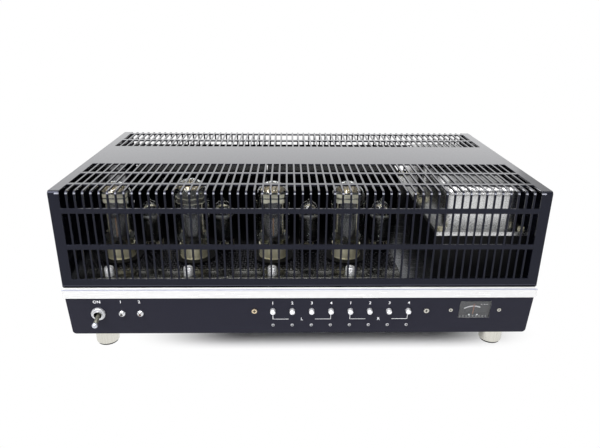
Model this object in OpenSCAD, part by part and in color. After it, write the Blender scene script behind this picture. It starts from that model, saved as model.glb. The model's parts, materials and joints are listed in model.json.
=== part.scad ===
// Stereo power amplifier with glass tubes under a slotted steel bonnet.
// X runs to the right, Y to the back and Z up, all in millimetres.
// The origin is on the surface it stands on, under the middle of its outer box.

/* [Bonnet] */
// Width of the bonnet and of the deck
body_w = 456; // [440:1:480]
// Depth of the bonnet, front sheet to rear sheet
cage_d = 256; // [250:1:276]
// Height of the slotted sheets
cage_h = 95.8; // [94:0.1:108]
// Thickness of the bonnet's steel sheet
sheet_t = 1.6; // [1:0.1:2.4]
// Outer radius of the folds at front and rear
bend_r = 3; // [2.6:0.1:5]
// Shadow gap between the slotted sheets and the deck
shadow_gap = 1.4; // [0.8:0.1:3]

/* [Slots] */
// Distance from one slot to the next
slot_pitch = 7.3; // [6.5:0.1:9]
// Width of a slot
slot_w = 5.6; // [4:0.1:6.2]
// Least plain margin at the ends of a row
slot_margin = 8.5; // [8:0.5:24]
// Width of the cross bars between rows
bar_w = 4.8; // [3:0.1:8]
// Distance between rows on the top
row_pitch = 37; // [30:0.5:40]
// Front edge to the middle of the first cross bar
first_bar = 23.25; // [16:0.25:30]
// How far the wrapped slots run down the front
wrap_drop = 16.5; // [10:0.5:24]
// Distance between rows on the front
front_pitch = 35.6; // [28:0.1:37]

/* [Deck and chassis] */
// How far the deck stands out in front of the bonnet and behind it
ledge = 4; // [2:0.5:10]
// Thickness of the aluminium deck
deck_t = 2.5; // [2:0.1:4]
// Height of the deck's bright edge
band_h = 9; // [7:0.5:14]
// Thickness of the chassis and base sheets
wall_t = 1.5; // [1:0.1:2.5]
// Height inside the chassis, base to deck
chassis_h = 48.3; // [47:0.1:60]
// Width of the flanges that carry the front panel
flange_w = 14; // [8:1:18]

/* [Feet] */
// Diameter of a foot
foot_d = 23; // [16:0.5:30]
// Height of a foot without its pad
foot_h = 20.5; // [12:0.5:30]
// Thickness of the rubber pad under a foot
pad_t = 1.5; // [1:0.1:3]
// Middle of a foot from the end of the body
foot_side = 27; // [24:0.5:80]
// Middle of a foot behind the bonnet's front
foot_front = 26; // [22:0.5:60]
// Rounding of a foot's lower edge
foot_r = 1.5; // [1:0.5:5]
// Diameter of the stud that fixes a foot
stud_d = 5; // [3:0.5:6]

/* [Front panel] */
// How far the panel's ends lie inside the deck's ends
panel_side = 2; // [1:0.5:5]
// Height of the front panel along its slope
panel_h = 42.7; // [41:0.1:44]
// Thickness of the front panel
panel_t = 2.5; // [1.5:0.1:4]
// Angle by which the panel leans back towards its foot
panel_tilt = 7; // [0:0.5:9]
// Radius of the panel's lower corners
panel_r = 3.5; // [1:0.5:8]
// How far the panel's top edge lies behind the deck's edge
panel_inset = 1; // [0.5:0.1:1.4]

/* [Power switch and lamps] */
// Switch from the left end of the body
toggle_side = 31; // [26:1:40]
// Switch below the panel's top edge
toggle_s = 17.6; // [16:0.1:20]
// Diameter of the switch bush
bush_d = 9.6; // [9:0.1:11]
// Diameter of the dress nut
nut_d = 13.8; // [12:0.1:17]
// Thickness of the dress nut
nut_t = 2.8; // [1.5:0.1:3]
// Reach of the lever from its pivot to its ball
lever_len = 19; // [18:0.5:26]
// Diameter of the ball on the lever
ball_d = 5.5; // [4:0.1:7]
// Angle of the lever to either side of the panel's normal
lever_throw = 11; // [8:1:12]
// First lamp to the right of the switch
lamp_dx = 22.7; // [20:0.1:28]
// Distance between the lamps
lamp_pitch = 17.7; // [12:0.1:24]
// Diameter of a lamp's dome
lamp_d = 7.4; // [6.5:0.1:10]
// Diameter of a lamp's lens
lens_d = 2.6; // [1.5:0.1:3.6]

/* [Buttons and trimmers] */
// Gap from the row's last screw to the meter's first screw
group_gap = 24.05; // [18:0.05:40]
// Distance between neighbours in the row
group_pitch = 18.94; // [14:0.01:19.5]
// Buttons below the panel's top edge
button_s = 15.2; // [14:0.1:16]
// Trimmers below the panel's top edge
trimmer_s = 33; // [30:0.1:34]
// Diameter of a button
button_d = 5.2; // [4:0.1:6.4]
// How far a button stands out
button_out = 4.2; // [2.8:0.1:6]
// Travel of a button
button_travel = 2.5; // [1:0.1:2.6]
// Diameter of a trimmer's shaft
trimmer_d = 3; // [2.6:0.1:5]
// Distance between the screws at the ends of the row
row_screws = 168.5; // [160:0.5:172]
// Gap from the panel to the board behind the controls
board_gap = 17; // [17:0.5:20]

/* [Meter] */
// Meter from the right end of the body
meter_side = 57.6; // [50:0.1:70]
// Middle of the meter's window below the panel's top edge
meter_s = 14.7; // [14.5:0.1:16]
// Width of the meter's window
window_w = 30.7; // [26:0.1:34]
// Height of the meter's window
window_h = 20; // [15:0.1:21]
// Distance between the meter's screws
meter_screws_w = 47.8; // [46:0.1:56]
// Length of the needle from its pivot
needle_len = 15.5; // [12:0.1:18]
// Needle's pivot to the left of the window's middle
pivot_dx = 0; // [0:0.1:4]
// Needle's pivot below the window's middle
pivot_ds = 11.1; // [10:0.1:12]

/* [Tubes] */
// How much further apart the two channels' tubes stand
channel_extra = 5.6; // [0:0.1:12]
// Power tubes behind the bonnet's front
tubes_y = 53; // [48:0.5:58]
// Diameter of a power tube's glass
glass_d = 35; // [31:0.5:36]
// Thickness of the glass
glass_t = 1.2; // [0.8:0.1:1.8]
// Diameter of a power tube's base
base_d = 28.8; // [27:0.1:30]
// Height of a power tube's base
base_h = 14; // [11:0.5:17]
// Top of the glass above the sockets
glass_top = 79.5; // [74:0.5:82]
// How much higher the second tube is
tall_extra = 2.5; // [0:0.5:3]
// Driver tube to the right of its power tube in the left channel
driver_left = 28.5; // [27:0.5:37]
// Driver tube to the right of its power tube in the right channel
driver_right = 37.5; // [34:0.5:38]
// Driver tube behind its power tube
driver_dy = 22; // [16:0.5:28]
// Diameter of a driver tube's glass
driver_d = 21; // [18:0.5:22]
// Height of a driver tube without its tip
driver_h = 51.5; // [44:0.5:58]

/* [Tube platform] */
// Platform's left end from the end of the body
platform_side = 12; // [8:0.5:20]
// Gap between the platform and the transformers
platform_gap = 35; // [32:0.5:44]
// Platform's left end beyond the middle of the first power tube
platform_left = 30.5; // [24:0.5:33]
// Platform's right end beyond the middle of the last driver tube
platform_right = 12.5; // [12.5:0.5:18]
// Room between the bonnet's front sheet and the platform
platform_y0 = 0.7; // [0.5:0.1:1]
// Rear of the platform behind the bonnet's front
platform_y1 = 174; // [160:1:175]
// Height of the platform above the deck
platform_h = 9.2; // [6:0.1:9.8]
// Outer diameter of a power tube's socket
socket_d = 42; // [37:0.5:48]
// Depth of a socket's body below the platform
socket_deep = 13; // [12:0.5:16]
// Thickness of a socket's rim
rim_t = 2; // [1:0.1:3]
// Diameter of a fuse's chrome cap
fuse_d = 9; // [7:0.1:10]
// Height of a fuse's cap above the deck
fuse_h = 17.5; // [14:0.5:24]
// Fuses behind the bonnet's front
fuse_y = 10.5; // [9.5:0.1:11.5]

/* [Transformers] */
// Middle of the transformers from the right end of the body
core_side = 51; // [50:0.5:60]
// Width of a core
core_w = 90; // [84:1:94]
// Depth of a core
core_d = 100; // [96:1:103]
// Height of a core's stack
core_h = 28.2; // [20:0.1:34]
// Height of the skirt under the stack
skirt_h = 16; // [14:0.5:18]
// Gap between the two transformers
core_space = 8; // [6:0.5:12]
// Height of the bell over its flange
bell_h = 43; // [36:0.5:45]
// Margin of the flange round the bell
flange_m = 8.5; // [7.5:0.5:11]
// Thickness of the bell's flange
flange_t = 4; // [2:0.1:6]
// Rounding of the bell's edges
bell_r = 9; // [4:0.5:12]
// Thickness of the bell's wall
bell_wall = 2; // [1:0.1:3]
// Width of the core's middle leg
leg_w = 30; // [26:0.5:32]
// Thickness of the winding
coil_t = 13; // [8:0.5:13]
// Diameter of a transformer bolt
bolt_d = 4; // [3:0.1:4.6]

/* [Rear cases and boards] */
// Left end of the rear cases from the end of the body
output_side = 24; // [20:1:40]
// Gap between the rear cases and the transformers
output_room = 8; // [6:0.5:20]
// Gap between the two rear cases
output_gap = 2; // [2:0.5:12]
// Front of the rear cases behind the bonnet's front
output_front = 176.5; // [172:0.5:182]
// Depth of a rear case
output_d = 64; // [50:1:66]
// Height of a rear case
output_h = 66; // [50:1:84]
// Rounding of a rear case's edges
output_r = 4; // [2:0.5:8]
// Width of the main board
main_w = 260; // [220:1:280]
// Depth of the main board
main_d = 160; // [130:1:170]
// Thickness of a board
board_t = 1.6; // [1:0.1:2.4]
// Height of the main board above the base
main_z = 16; // [8:0.5:18]

/* [Rear sockets] */
// Height of the sockets above the base
rear_z = 21; // [18:0.5:24]
// First input jack from the end of the body
jack_side = 38; // [24:1:60]
// Distance between the input jacks
jack_pitch = 30; // [22:1:36]
// Diameter of a jack's barrel
jack_d = 8.4; // [8:0.1:9]
// Length of a jack's barrel behind the chassis
jack_len = 12; // [8:0.5:16]
// Middle of the speaker terminals from the middle of the body
strip_x = -20; // [-40:1:0]
// Distance between speaker terminals
strip_pitch = 20; // [16:0.5:24]
// Mains inlet from the end of the body
inlet_side = 38; // [26:1:60]
// Mains fuse from the mains inlet
fuse_pitch = 50; // [30:1:60]

/* [Fits] */
// Gap between pieces that slip past each other
fit_gap = 0.3; // [0.2:0.05:0.5]
// Radial clearance of a shaft in its guide
run_gap = 0.05; // [0.02:0.01:0.08]

/* [Hidden] */
$fn = 48;
single_nodes = [
    "deck", "chassis", "bottom_plate", "front_panel", "feet", "foot_pads",
    "bonnet_front", "bonnet_top", "bonnet_rear", "bonnet_ends",
    "tube_platform", "tube_sockets",
    "power_tube_bases", "power_tube_glass", "power_tube_anodes", "power_tube_micas",
    "driver_tube_glass", "driver_tube_anodes", "tube_fuses",
    "transformer_cores", "transformer_bells", "transformer_coils", "transformer_bolts",
    "output_cases", "circuit_boards", "board_parts", "board_spacers",
    "panel_screws", "control_bodies",
    "toggle_body", "toggle_bush", "toggle_nut", "toggle_lever",
    "lamp_bezels", "lamp_lenses",
    "meter_case", "meter_dial", "meter_needle", "meter_window",
    "input_jacks", "speaker_strip", "terminal_screws", "mains_inlet", "mains_fuse"
];
control_n = 8;

// Cutters reach this far past the faces they cut
eps = 1;

// Levels from the floor up
base_z = pad_t + foot_h;
base_top = base_z + wall_t;
deck_low = base_top + chassis_h;
deck_top = deck_low + deck_t;
cage_low = deck_top + shadow_gap;
cage_top = cage_low + cage_h;

// Places along the width
core_x = body_w / 2 - core_side;
core_pitch = core_d + core_space;
platform_x0 = -body_w / 2 + platform_side;
platform_x1 = core_x - core_w / 2 - platform_gap;
first_tube_x = platform_x0 + platform_left;
last_tube_x = platform_x1 - platform_right - driver_right;
pair_pitch = (last_tube_x - first_tube_x - channel_extra) / 3;
output_x0 = -body_w / 2 + output_side;
output_x1 = core_x - core_w / 2 - output_room;
toggle_x = -body_w / 2 + toggle_side;
lamp_x = toggle_x + lamp_dx;
meter_x = body_w / 2 - meter_side;
group_x = meter_x - meter_screws_w / 2 - group_gap - row_screws / 2;
foot_x = body_w / 2 - foot_side;
foot_y = cage_d / 2 - foot_front;
jack_x = -body_w / 2 + jack_side;
inlet_x = body_w / 2 - inlet_side;
mains_fuse_x = inlet_x - fuse_pitch;

// Front and rear faces
cage_front = -cage_d / 2;
deck_d = cage_d + 2 * ledge;
panel_w = body_w - 2 * panel_side;
panel_y = -deck_d / 2 + panel_inset;
panel_top = deck_top - band_h - fit_gap;
chassis_x = body_w / 2 - deck_t - fit_gap;
chassis_y = deck_d / 2 - deck_t - fit_gap;

// Where the panel's rear face is at height z
function panel_back(z) =
    panel_y + (panel_top - z) * tan(panel_tilt) + panel_t / cos(panel_tilt);

// Slot pattern
slot_n = floor((body_w - 2 * slot_margin) / slot_pitch);
row_n = floor((cage_d - first_bar - 2 * bar_w) / row_pitch);
front_n = floor((cage_h - wrap_drop - bar_w) / front_pitch);
rear_bar = cage_front + first_bar + row_n * row_pitch;

// Power switch, measured along the panel's outward normal
pivot_deep = 4.5;
bush_out = 4;
bush_deep = 8;
bush_wall = 1;
pin_d = 1.6;
toggle_w = 15;
toggle_h = 26;
toggle_deep = 20;
lever_slope = panel_tilt + lever_throw;
pivot_y = panel_y + toggle_s * sin(panel_tilt) + pivot_deep * cos(panel_tilt);
front_reach = -(pivot_y - lever_len * cos(lever_slope)) + ball_d / 2;

// Buttons and trimmers, measured the same way
collar_t = 1.2;
collar_d = button_d + 1.8;
button_room = fit_gap + collar_t + button_travel + 0.7;
switch_front = panel_t + button_room;
button_grip = 3;
button_bore = button_grip + button_travel + 1.5;
board_front = panel_t + board_gap;
switch_w = 11;
trimmer_w = 9.5;
trimmer_front = panel_t + 6.5;
trimmer_grip = 3;
trimmer_out = 0.5;
screw_d = 3;
control_margin = 6.5;
control_w = row_screws + 2 * control_margin;
control_s0 = 5;
control_s1 = 39;
spacer_d = 6;

// Meter, measured the same way
window_lip = 1;
case_gap = 0.1;
case_wall = 1.5;
case_w = window_w + 2 * (window_lip + case_gap + case_wall);
case_s0 = meter_s - window_h / 2 - window_lip - case_gap - case_wall;
case_below = 5.7;
case_s1 = meter_s + pivot_ds + case_below;
case_deep = 22;
ear_t = 2;
ear_h = 9;
window_flange = 0.5;
window_proud = 0.2;
cover_t = 0.4;
cover_up = 3.8;
cover_down = 2.4;
cover_z = panel_t + window_flange + fit_gap;
post_d = 1.2;
post_dx = 4;
post_up = 1.7;
hub_d = 3.2;
hub_t = 1;
needle_w = 0.9;
needle_gap = 0.25;
needle_z = cover_z + cover_t + needle_gap + hub_t / 2;
dial_t = 0.6;
dial_deep = needle_z + hub_t / 2 + needle_gap + dial_t;
meter_pin_d = 1.2;
pin_over = 0.1;
meter_screw_d = 2;

// Tubes
platform_top = deck_top + platform_h;
socket_top = platform_top + rim_t;
socket_body_d = 33;
driver_rim = 1;
driver_socket_d = driver_d + driver_rim;
driver_body_d = driver_d - 2;
seat_deep = 6;
glass_low = socket_top + base_h - seat_deep;
neck_r = base_d / 2 - 0.8;
neck_h = seat_deep + 1.5;
cone_h = 6;
pin_ring_d = 17.45;
tube_pin_d = 2.36;
tube_pin_l = 10.5;
key_d = 7.9;
key_l = 12;
mica_t = 0.8;
mica_r = glass_d / 2 - glass_t - fit_gap;
lower_mica = glass_low + neck_h + cone_h + 0.5;
anode_h = 22.5;
sleeve_h = 11;
mica_step = 5;
anode_d = 17.2;
anode_t = 0.8;
rod_d = 1.6;
rod_x = 9.8;
upper_mica = lower_mica + mica_t + anode_h + sleeve_h;
fuse_tail = 5.5;
fuse_nut_d = 12;
fuse_nut_h = 2.4;

// Transformers
bolt_in = 5;
bolt_dx = core_w / 2 - bolt_in;
bolt_dy = core_d / 2 - bolt_in;
stack_low = deck_top + skirt_h;
stack_top = stack_low + core_h;
window_x = (core_w - 2 * leg_w) / 2;
window_d = core_d - leg_w;
skirt_wall = 3;
bell_w = core_w - 2 * flange_m;
bell_d = core_d - 2 * flange_m;
pot_inset = bell_r / 2 + bell_wall;
pot_h = flange_t + bell_h - bell_wall;

// Rear sockets
rear_h = base_top + rear_z;
jack_nut_d = 12;
jack_nut_t = 2.5;
jack_body_d = 10;
jack_deep = 10;
jack_hole_d = 3.4;
jack_hole_l = 9;
strip_n = 4;
strip_h = 18;
strip_t = 10;
strip_wall = 6;
terminal_d = 7;
terminal_h = 2.5;
fuse_cap_d = 14;
fuse_body_d = 12;
fuse_deep = 26;
inlet_w = 26;
inlet_h = 20;
inlet_out = 3;
inlet_deep = 16;
cavity_w = 18;
cavity_h = 11;
cavity_deep = 13;
prong_d = 2.4;
prong_dx = 4.3;

// Colours
steel_black = "#26272c";
panel_grey = "#3d3e47";
bright_metal = "#d9dbdc";
chrome = "#c9ccd0";
nickel = "#c8b98a";
bakelite = "#17171a";
clear_glass = [0.8, 0.88, 0.9, 0.35];

// Puts children on the panel's face: x to the right, s down the slope, z outward
module on_panel(x, s) {
    translate([x, panel_y + s * sin(panel_tilt), panel_top - s * cos(panel_tilt)])
        rotate([90 + panel_tilt, 0, 0])
            children();
}

// A block centred on X and Y, standing on z
module block(w, d, h, z = 0) {
    translate([-w / 2, -d / 2, z])
        cube([w, d, h]);
}

// Upper half of a ball
module dome(r) {
    intersection() {
        sphere(r);
        block(2 * r + eps, 2 * r + eps, r + eps);
    }
}

// A flat outline in Y and Z, drawn out along X about the middle
module along_x(w) {
    translate([-w / 2, 0, 0])
        rotate([90, 0, 90])
            linear_extrude(w)
                children();
}

// A block with rounded upright edges and a rounded top
module soft_block(w, d, h, r) {
    for (sx = [-1, 1])
        for (sy = [-1, 1])
            translate([sx * (w / 2 - r), sy * (d / 2 - r), 0]) {
                cylinder(r = r, h = h - r);
                translate([0, 0, h - r])
                    dome(r);
            }
    for (sy = [-1, 1])
        translate([0, sy * (d / 2 - r), h - r])
            half_round(w - 2 * r, r);
    for (sx = [-1, 1])
        translate([sx * (w / 2 - r), 0, h - r])
            rotate([0, 0, 90])
                half_round(d - 2 * r, r);
    block(w - 2 * r, d - 2 * r, h);
    block(w, d - 2 * r, h - r);
    block(w - 2 * r, d, h - r);
}

// Upper half of a round bar along X
module half_round(len, r) {
    intersection() {
        rotate([0, 90, 0])
            cylinder(r = r, h = len, center = true);
        block(len + eps, 2 * r + eps, r + eps);
    }
}

// A screw along -Z with a domeless head and a cross recess
module cross_screw(d, head_d, head_h, len) {
    recess_w = head_d / 6;
    recess_l = head_d * 0.62;
    recess_h = head_h * 0.6;
    difference() {
        union() {
            cylinder(d = head_d, h = head_h);
            translate([0, 0, -len])
                cylinder(d = d, h = len);
        }
        block(recess_w, recess_l, head_h, head_h - recess_h);
        block(recess_l, recess_w, head_h, head_h - recess_h);
    }
}

// Centre of control k in its row
function control_x(k) = group_x + (k - (control_n + 1) / 2) * group_pitch;

// Centre of power tube k, counted from the left
function tube_x(k) = first_tube_x + (k - 1) * pair_pitch + (k > 2 ? channel_extra : 0);
function driver_x(k) = tube_x(k) + (k > 2 ? driver_right : driver_left);
tube_y = cage_front + tubes_y;
function tube_top(k) = socket_top + glass_top + (k == 2 ? tall_extra : 0);

module at_power_tubes() {
    for (k = [1:4])
        translate([tube_x(k), tube_y, 0])
            children();
}

module at_driver_tubes() {
    for (k = [1:4])
        translate([driver_x(k), tube_y + driver_dy, 0])
            children();
}

module at_fuses() {
    for (k = [1:4])
        translate([tube_x(k), cage_front + fuse_y, 0])
            children();
}

module at_cores() {
    for (sy = [-1, 1])
        translate([core_x, sy * core_pitch / 2, 0])
            children();
}

module at_core_bolts() {
    for (sx = [-1, 1])
        for (sy = [-1, 1])
            translate([sx * bolt_dx, sy * bolt_dy, 0])
                children();
}

module at_feet() {
    for (sx = [-1, 1])
        for (sy = [-1, 1])
            translate([sx * foot_x, sy * foot_y, 0])
                children();
}

// Bonnet

module slot_columns() {
    for (k = [0:slot_n - 1])
        translate([(k - (slot_n - 1) / 2) * slot_pitch, 0, 0])
            children();
}

// A slotted upright sheet with its fold, seen as the front one
module bent_grille() {
    difference() {
        along_x(body_w)
            translate([cage_front, 0]) {
                translate([0, cage_low])
                    square([sheet_t, cage_h - bend_r]);
                translate([bend_r, cage_top - bend_r])
                    intersection() {
                        difference() {
                            circle(bend_r);
                            circle(bend_r - sheet_t);
                        }
                        translate([-bend_r, 0])
                            square(bend_r);
                    }
            }
        slot_columns() {
            translate([-slot_w / 2, cage_front - eps, cage_top - wrap_drop])
                cube([slot_w, bend_r + 2 * eps, wrap_drop + eps]);
            for (k = [1:front_n])
                translate([-slot_w / 2, cage_front - eps, cage_top - wrap_drop - k * front_pitch])
                    cube([slot_w, sheet_t + 2 * eps, front_pitch - bar_w]);
        }
    }
}

module bonnet_front() {
    color(steel_black)
        bent_grille();
}

module bonnet_rear() {
    color(steel_black)
        mirror([0, 1, 0])
            bent_grille();
}

// Flat top between the folds; its two middle rows stay unpunched
module bonnet_top() {
    d = cage_d - 2 * bend_r;
    color(steel_black)
        translate([0, 0, cage_top - sheet_t])
            difference() {
                block(body_w, d, sheet_t);
                slot_columns() {
                    top_slot(-d / 2 - eps, cage_front + first_bar);
                    for (k = [0:row_n - 1])
                        if (k < row_n / 2 - 1 || k > row_n / 2)
                            top_slot(
                                cage_front + first_bar + k * row_pitch + bar_w / 2,
                                cage_front + first_bar + (k + 1) * row_pitch
                            );
                    top_slot(rear_bar + bar_w / 2, d / 2 + eps + bar_w / 2);
                }
            }
}

// A slot of the top sheet from y0 to the bar whose middle is at y1
module top_slot(y0, y1) {
    translate([-slot_w / 2, y0, -eps])
        cube([slot_w, y1 - bar_w / 2 - y0, sheet_t + 2 * eps]);
}

// Plain end plates inside the folded sheet; the bonnet stands on them
module bonnet_ends() {
    y1 = cage_d / 2 - sheet_t;
    z1 = cage_top - sheet_t;
    cut = bend_r - sheet_t;
    color(steel_black)
        for (sx = [-1, 1])
            translate([sx * (body_w - sheet_t) / 2, 0, 0])
                along_x(sheet_t)
                    polygon([
                        [-y1, deck_top], [y1, deck_top], [y1, z1 - cut],
                        [y1 - cut, z1], [-y1 + cut, z1], [-y1, z1 - cut]
                    ]);
}

// Deck, chassis and feet

module deck() {
    color(bright_metal)
        difference() {
            block(body_w, deck_d, band_h, deck_top - band_h);
            block(body_w - 2 * deck_t, deck_d - 2 * deck_t, band_h, deck_low - band_h);
            translate([0, 0, deck_low - eps]) {
                at_power_tubes()
                    cylinder(d = socket_body_d + 2 * fit_gap, h = deck_t + 2 * eps);
                at_driver_tubes()
                    cylinder(d = driver_body_d + 2 * fit_gap, h = deck_t + 2 * eps);
                at_fuses()
                    cylinder(d = fuse_d + 2 * fit_gap, h = deck_t + 2 * eps);
                at_cores()
                    at_core_bolts()
                        cylinder(d = bolt_d + 2 * run_gap, h = deck_t + 2 * eps);
            }
        }
}

module chassis() {
    side = [
        [panel_back(base_top), base_top], [chassis_y, base_top],
        [chassis_y, deck_low], [panel_back(deck_low), deck_low]
    ];
    color(steel_black)
        difference() {
            union() {
                for (sx = [-1, 1]) {
                    translate([sx * (chassis_x - wall_t / 2), 0, 0])
                        along_x(wall_t)
                            polygon(side);
                    on_panel(sx * (chassis_x - flange_w / 2), 0)
                        translate([-flange_w / 2, -panel_h + panel_r, -panel_t - wall_t])
                            cube([flange_w, panel_h - panel_r, wall_t]);
                }
                translate([-chassis_x, chassis_y - wall_t, base_top])
                    cube([2 * chassis_x, wall_t, chassis_h]);
            }
            rear_holes();
        }
}

module rear_holes() {
    translate([0, chassis_y + eps, rear_h])
        rotate([90, 0, 0]) {
            for (k = [0, 1])
                translate([jack_x + k * jack_pitch, 0, 0])
                    cylinder(d = jack_body_d + 2 * run_gap, h = wall_t + 2 * eps);
            translate([mains_fuse_x, 0, 0])
                cylinder(d = fuse_body_d + 2 * run_gap, h = wall_t + 2 * eps);
            translate([inlet_x, 0, 0])
                block(cavity_w + 4 + 2 * run_gap, cavity_h + 4 + 2 * run_gap, wall_t + 2 * eps);
        }
}

module bottom_plate() {
    vent_n = 14;
    vent_w = 4;
    vent_l = 60;
    vent_pitch = 14;
    y0 = panel_back(base_z) + fit_gap;
    color(steel_black)
        difference() {
            translate([-chassis_x, y0, base_z])
                cube([2 * chassis_x, chassis_y - y0, wall_t]);
            at_feet()
                translate([0, 0, base_z - eps])
                    cylinder(d = stud_d + 2 * run_gap, h = wall_t + 2 * eps);
            for (k = [0:vent_n - 1])
                translate([(k - (vent_n - 1) / 2) * vent_pitch, 0, base_z])
                    block(vent_w, vent_l, wall_t + 2 * eps, -eps);
        }
}

// Turned feet, each with its own stud and nut
module feet() {
    nut_h = 3;
    color(bright_metal)
        at_feet() {
            translate([0, 0, pad_t])
                rotate_extrude() {
                    square([foot_d / 2 - foot_r, foot_h]);
                    translate([0, foot_r])
                        square([foot_d / 2, foot_h - foot_r]);
                    translate([foot_d / 2 - foot_r, foot_r])
                        circle(foot_r);
                }
            translate([0, 0, base_z])
                cylinder(d = stud_d, h = wall_t + nut_h);
            translate([0, 0, base_top])
                cylinder(d = stud_d * 1.8, h = nut_h, $fn = 6);
        }
}

module foot_pads() {
    color(bakelite)
        at_feet()
            cylinder(d = foot_d - 2 * foot_r, h = pad_t);
}

// Front panel with its openings

module panel_outline() {
    translate([-panel_w / 2, panel_r - panel_h])
        square([panel_w, panel_h - panel_r]);
    translate([-panel_w / 2 + panel_r, -panel_h])
        square([panel_w - 2 * panel_r, panel_h]);
    for (sx = [-1, 1])
        translate([sx * (panel_w / 2 - panel_r), panel_r - panel_h])
            circle(panel_r);
}

module front_panel() {
    color(panel_grey)
        on_panel(0, 0)
            translate([0, 0, -panel_t])
                linear_extrude(panel_t)
                    difference() {
                        panel_outline();
                        translate([toggle_x, -toggle_s])
                            circle(d = bush_d + 2 * run_gap);
                        for (k = [0, 1])
                            translate([lamp_x + k * lamp_pitch, -toggle_s])
                                circle(d = lamp_d - 1.6 + 2 * run_gap);
                        for (k = [1:control_n]) {
                            translate([control_x(k), -button_s])
                                circle(d = button_d + 2 * fit_gap);
                            translate([control_x(k), -trimmer_s])
                                circle(d = trimmer_d + 2 * fit_gap);
                        }
                        for (sx = [-1, 1]) {
                            translate([group_x + sx * row_screws / 2, -button_s])
                                circle(d = screw_d + 2 * run_gap);
                            translate([meter_x + sx * meter_screws_w / 2, -meter_s])
                                circle(d = meter_screw_d + 2 * run_gap);
                        }
                        translate([meter_x - window_w / 2, -meter_s - window_h / 2])
                            square([window_w, window_h]);
                    }
}

// Brass and nickel screws through the panel, each with its nut
module panel_screws() {
    nut_h = 2.2;
    color(nickel)
        for (sx = [-1, 1]) {
            on_panel(group_x + sx * row_screws / 2, button_s) {
                cross_screw(screw_d, 5.2, 1.4, board_front + board_t + nut_h);
                translate([0, 0, -board_front - board_t - nut_h])
                    cylinder(d = screw_d * 2, h = nut_h, $fn = 6);
            }
            on_panel(meter_x + sx * meter_screws_w / 2, meter_s) {
                cross_screw(meter_screw_d, 3.8, 1, panel_t + ear_t + nut_h);
                translate([0, 0, -panel_t - ear_t - nut_h])
                    cylinder(d = meter_screw_d * 2, h = nut_h, $fn = 6);
            }
        }
}

// Buttons and trimmers

module push_button(k) {
    color(chrome)
        on_panel(control_x(k), button_s) {
            translate([0, 0, -switch_front - button_grip])
                cylinder(d = button_d, h = switch_front + button_grip + button_out);
            translate([0, 0, -panel_t - fit_gap - collar_t])
                cylinder(d = collar_d, h = collar_t);
        }
}

module trimmer(k) {
    slot_deep = 0.7;
    slot_cut = 0.6;
    color("#8d8f92")
        on_panel(control_x(k), trimmer_s)
            difference() {
                translate([0, 0, -trimmer_front - trimmer_grip])
                    cylinder(d = trimmer_d, h = trimmer_front + trimmer_grip + trimmer_out);
                block(trimmer_d + eps, slot_cut, slot_deep + eps, trimmer_out - slot_deep);
            }
}

// Switch and trimmer bodies on the board behind the panel
module control_bodies() {
    color(bakelite)
        for (k = [1:control_n]) {
            on_panel(control_x(k), button_s)
                difference() {
                    block(switch_w, switch_w, board_front - switch_front, -board_front);
                    translate([0, 0, -switch_front - button_bore])
                        cylinder(d = button_d + 2 * run_gap, h = button_bore + eps);
                }
            on_panel(control_x(k), trimmer_s)
                difference() {
                    block(trimmer_w, trimmer_w, board_front - trimmer_front, -board_front);
                    translate([0, 0, -trimmer_front - trimmer_grip - eps])
                        cylinder(d = trimmer_d + 2 * run_gap, h = trimmer_grip + 2 * eps);
                }
        }
}

// Power switch

module toggle_body() {
    tail_room = 6;
    tail_d = bush_d - 2 * bush_wall;
    color(bakelite)
        on_panel(toggle_x, toggle_s)
            difference() {
                block(toggle_w, toggle_h, toggle_deep, -panel_t - toggle_deep);
                translate([0, 0, -bush_deep])
                    cylinder(d = bush_d + 2 * run_gap, h = bush_deep);
                translate([0, 0, -bush_deep - tail_room])
                    cylinder(d = tail_d, h = tail_room + eps);
            }
}

module toggle_bush() {
    color(chrome)
        on_panel(toggle_x, toggle_s)
            difference() {
                translate([0, 0, -bush_deep])
                    cylinder(d = bush_d, h = bush_deep + bush_out);
                translate([0, 0, -bush_deep - eps])
                    cylinder(d = bush_d - 2 * bush_wall, h = bush_deep + bush_out + 2 * eps);
                translate([0, 0, -pivot_deep])
                    rotate([0, 90, 0])
                        cylinder(d = pin_d + 2 * run_gap, h = bush_d + 2 * eps, center = true);
            }
}

module toggle_nut() {
    color(chrome)
        on_panel(toggle_x, toggle_s)
            difference() {
                cylinder(d = nut_d, h = nut_t);
                translate([0, 0, -eps])
                    cylinder(d = bush_d + 2 * run_gap, h = nut_t + 2 * eps);
            }
}

// The lever rests pointing down and turns on its cross pin
module toggle_lever() {
    hub_r = 2.4;
    tail_l = 4.6;
    // The stem is as thick as the bush leaves room for at full throw
    stem_room = 0.2;
    stem_swing = (pivot_deep + bush_out) * tan(lever_throw);
    stem_r = (bush_d / 2 - bush_wall - stem_swing - stem_room) * cos(lever_throw);
    stem_l = pivot_deep + bush_out + 1;
    flare_l = 6;
    flare = 0.4;
    taper = 0.3;
    bat_r = stem_r + flare;
    bat_l = lever_len - stem_l - flare_l;
    color(chrome)
        on_panel(toggle_x, toggle_s)
            translate([0, 0, -pivot_deep])
                rotate([lever_throw, 0, 0]) {
                    sphere(hub_r);
                    rotate([0, 90, 0])
                        cylinder(d = pin_d, h = bush_d - 2 * run_gap, center = true);
                    cylinder(r = stem_r, h = stem_l);
                    translate([0, 0, stem_l])
                        cylinder(r1 = stem_r, r2 = bat_r, h = flare_l);
                    translate([0, 0, stem_l + flare_l])
                        cylinder(r1 = bat_r, r2 = bat_r - taper, h = bat_l);
                    translate([0, 0, -tail_l])
                        cylinder(r = 1.1, h = tail_l);
                    translate([0, 0, lever_len])
                        sphere(d = ball_d);
                }
}

// Lamps

module at_lamps() {
    for (k = [0, 1])
        on_panel(lamp_x + k * lamp_pitch, toggle_s)
            children();
}

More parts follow.
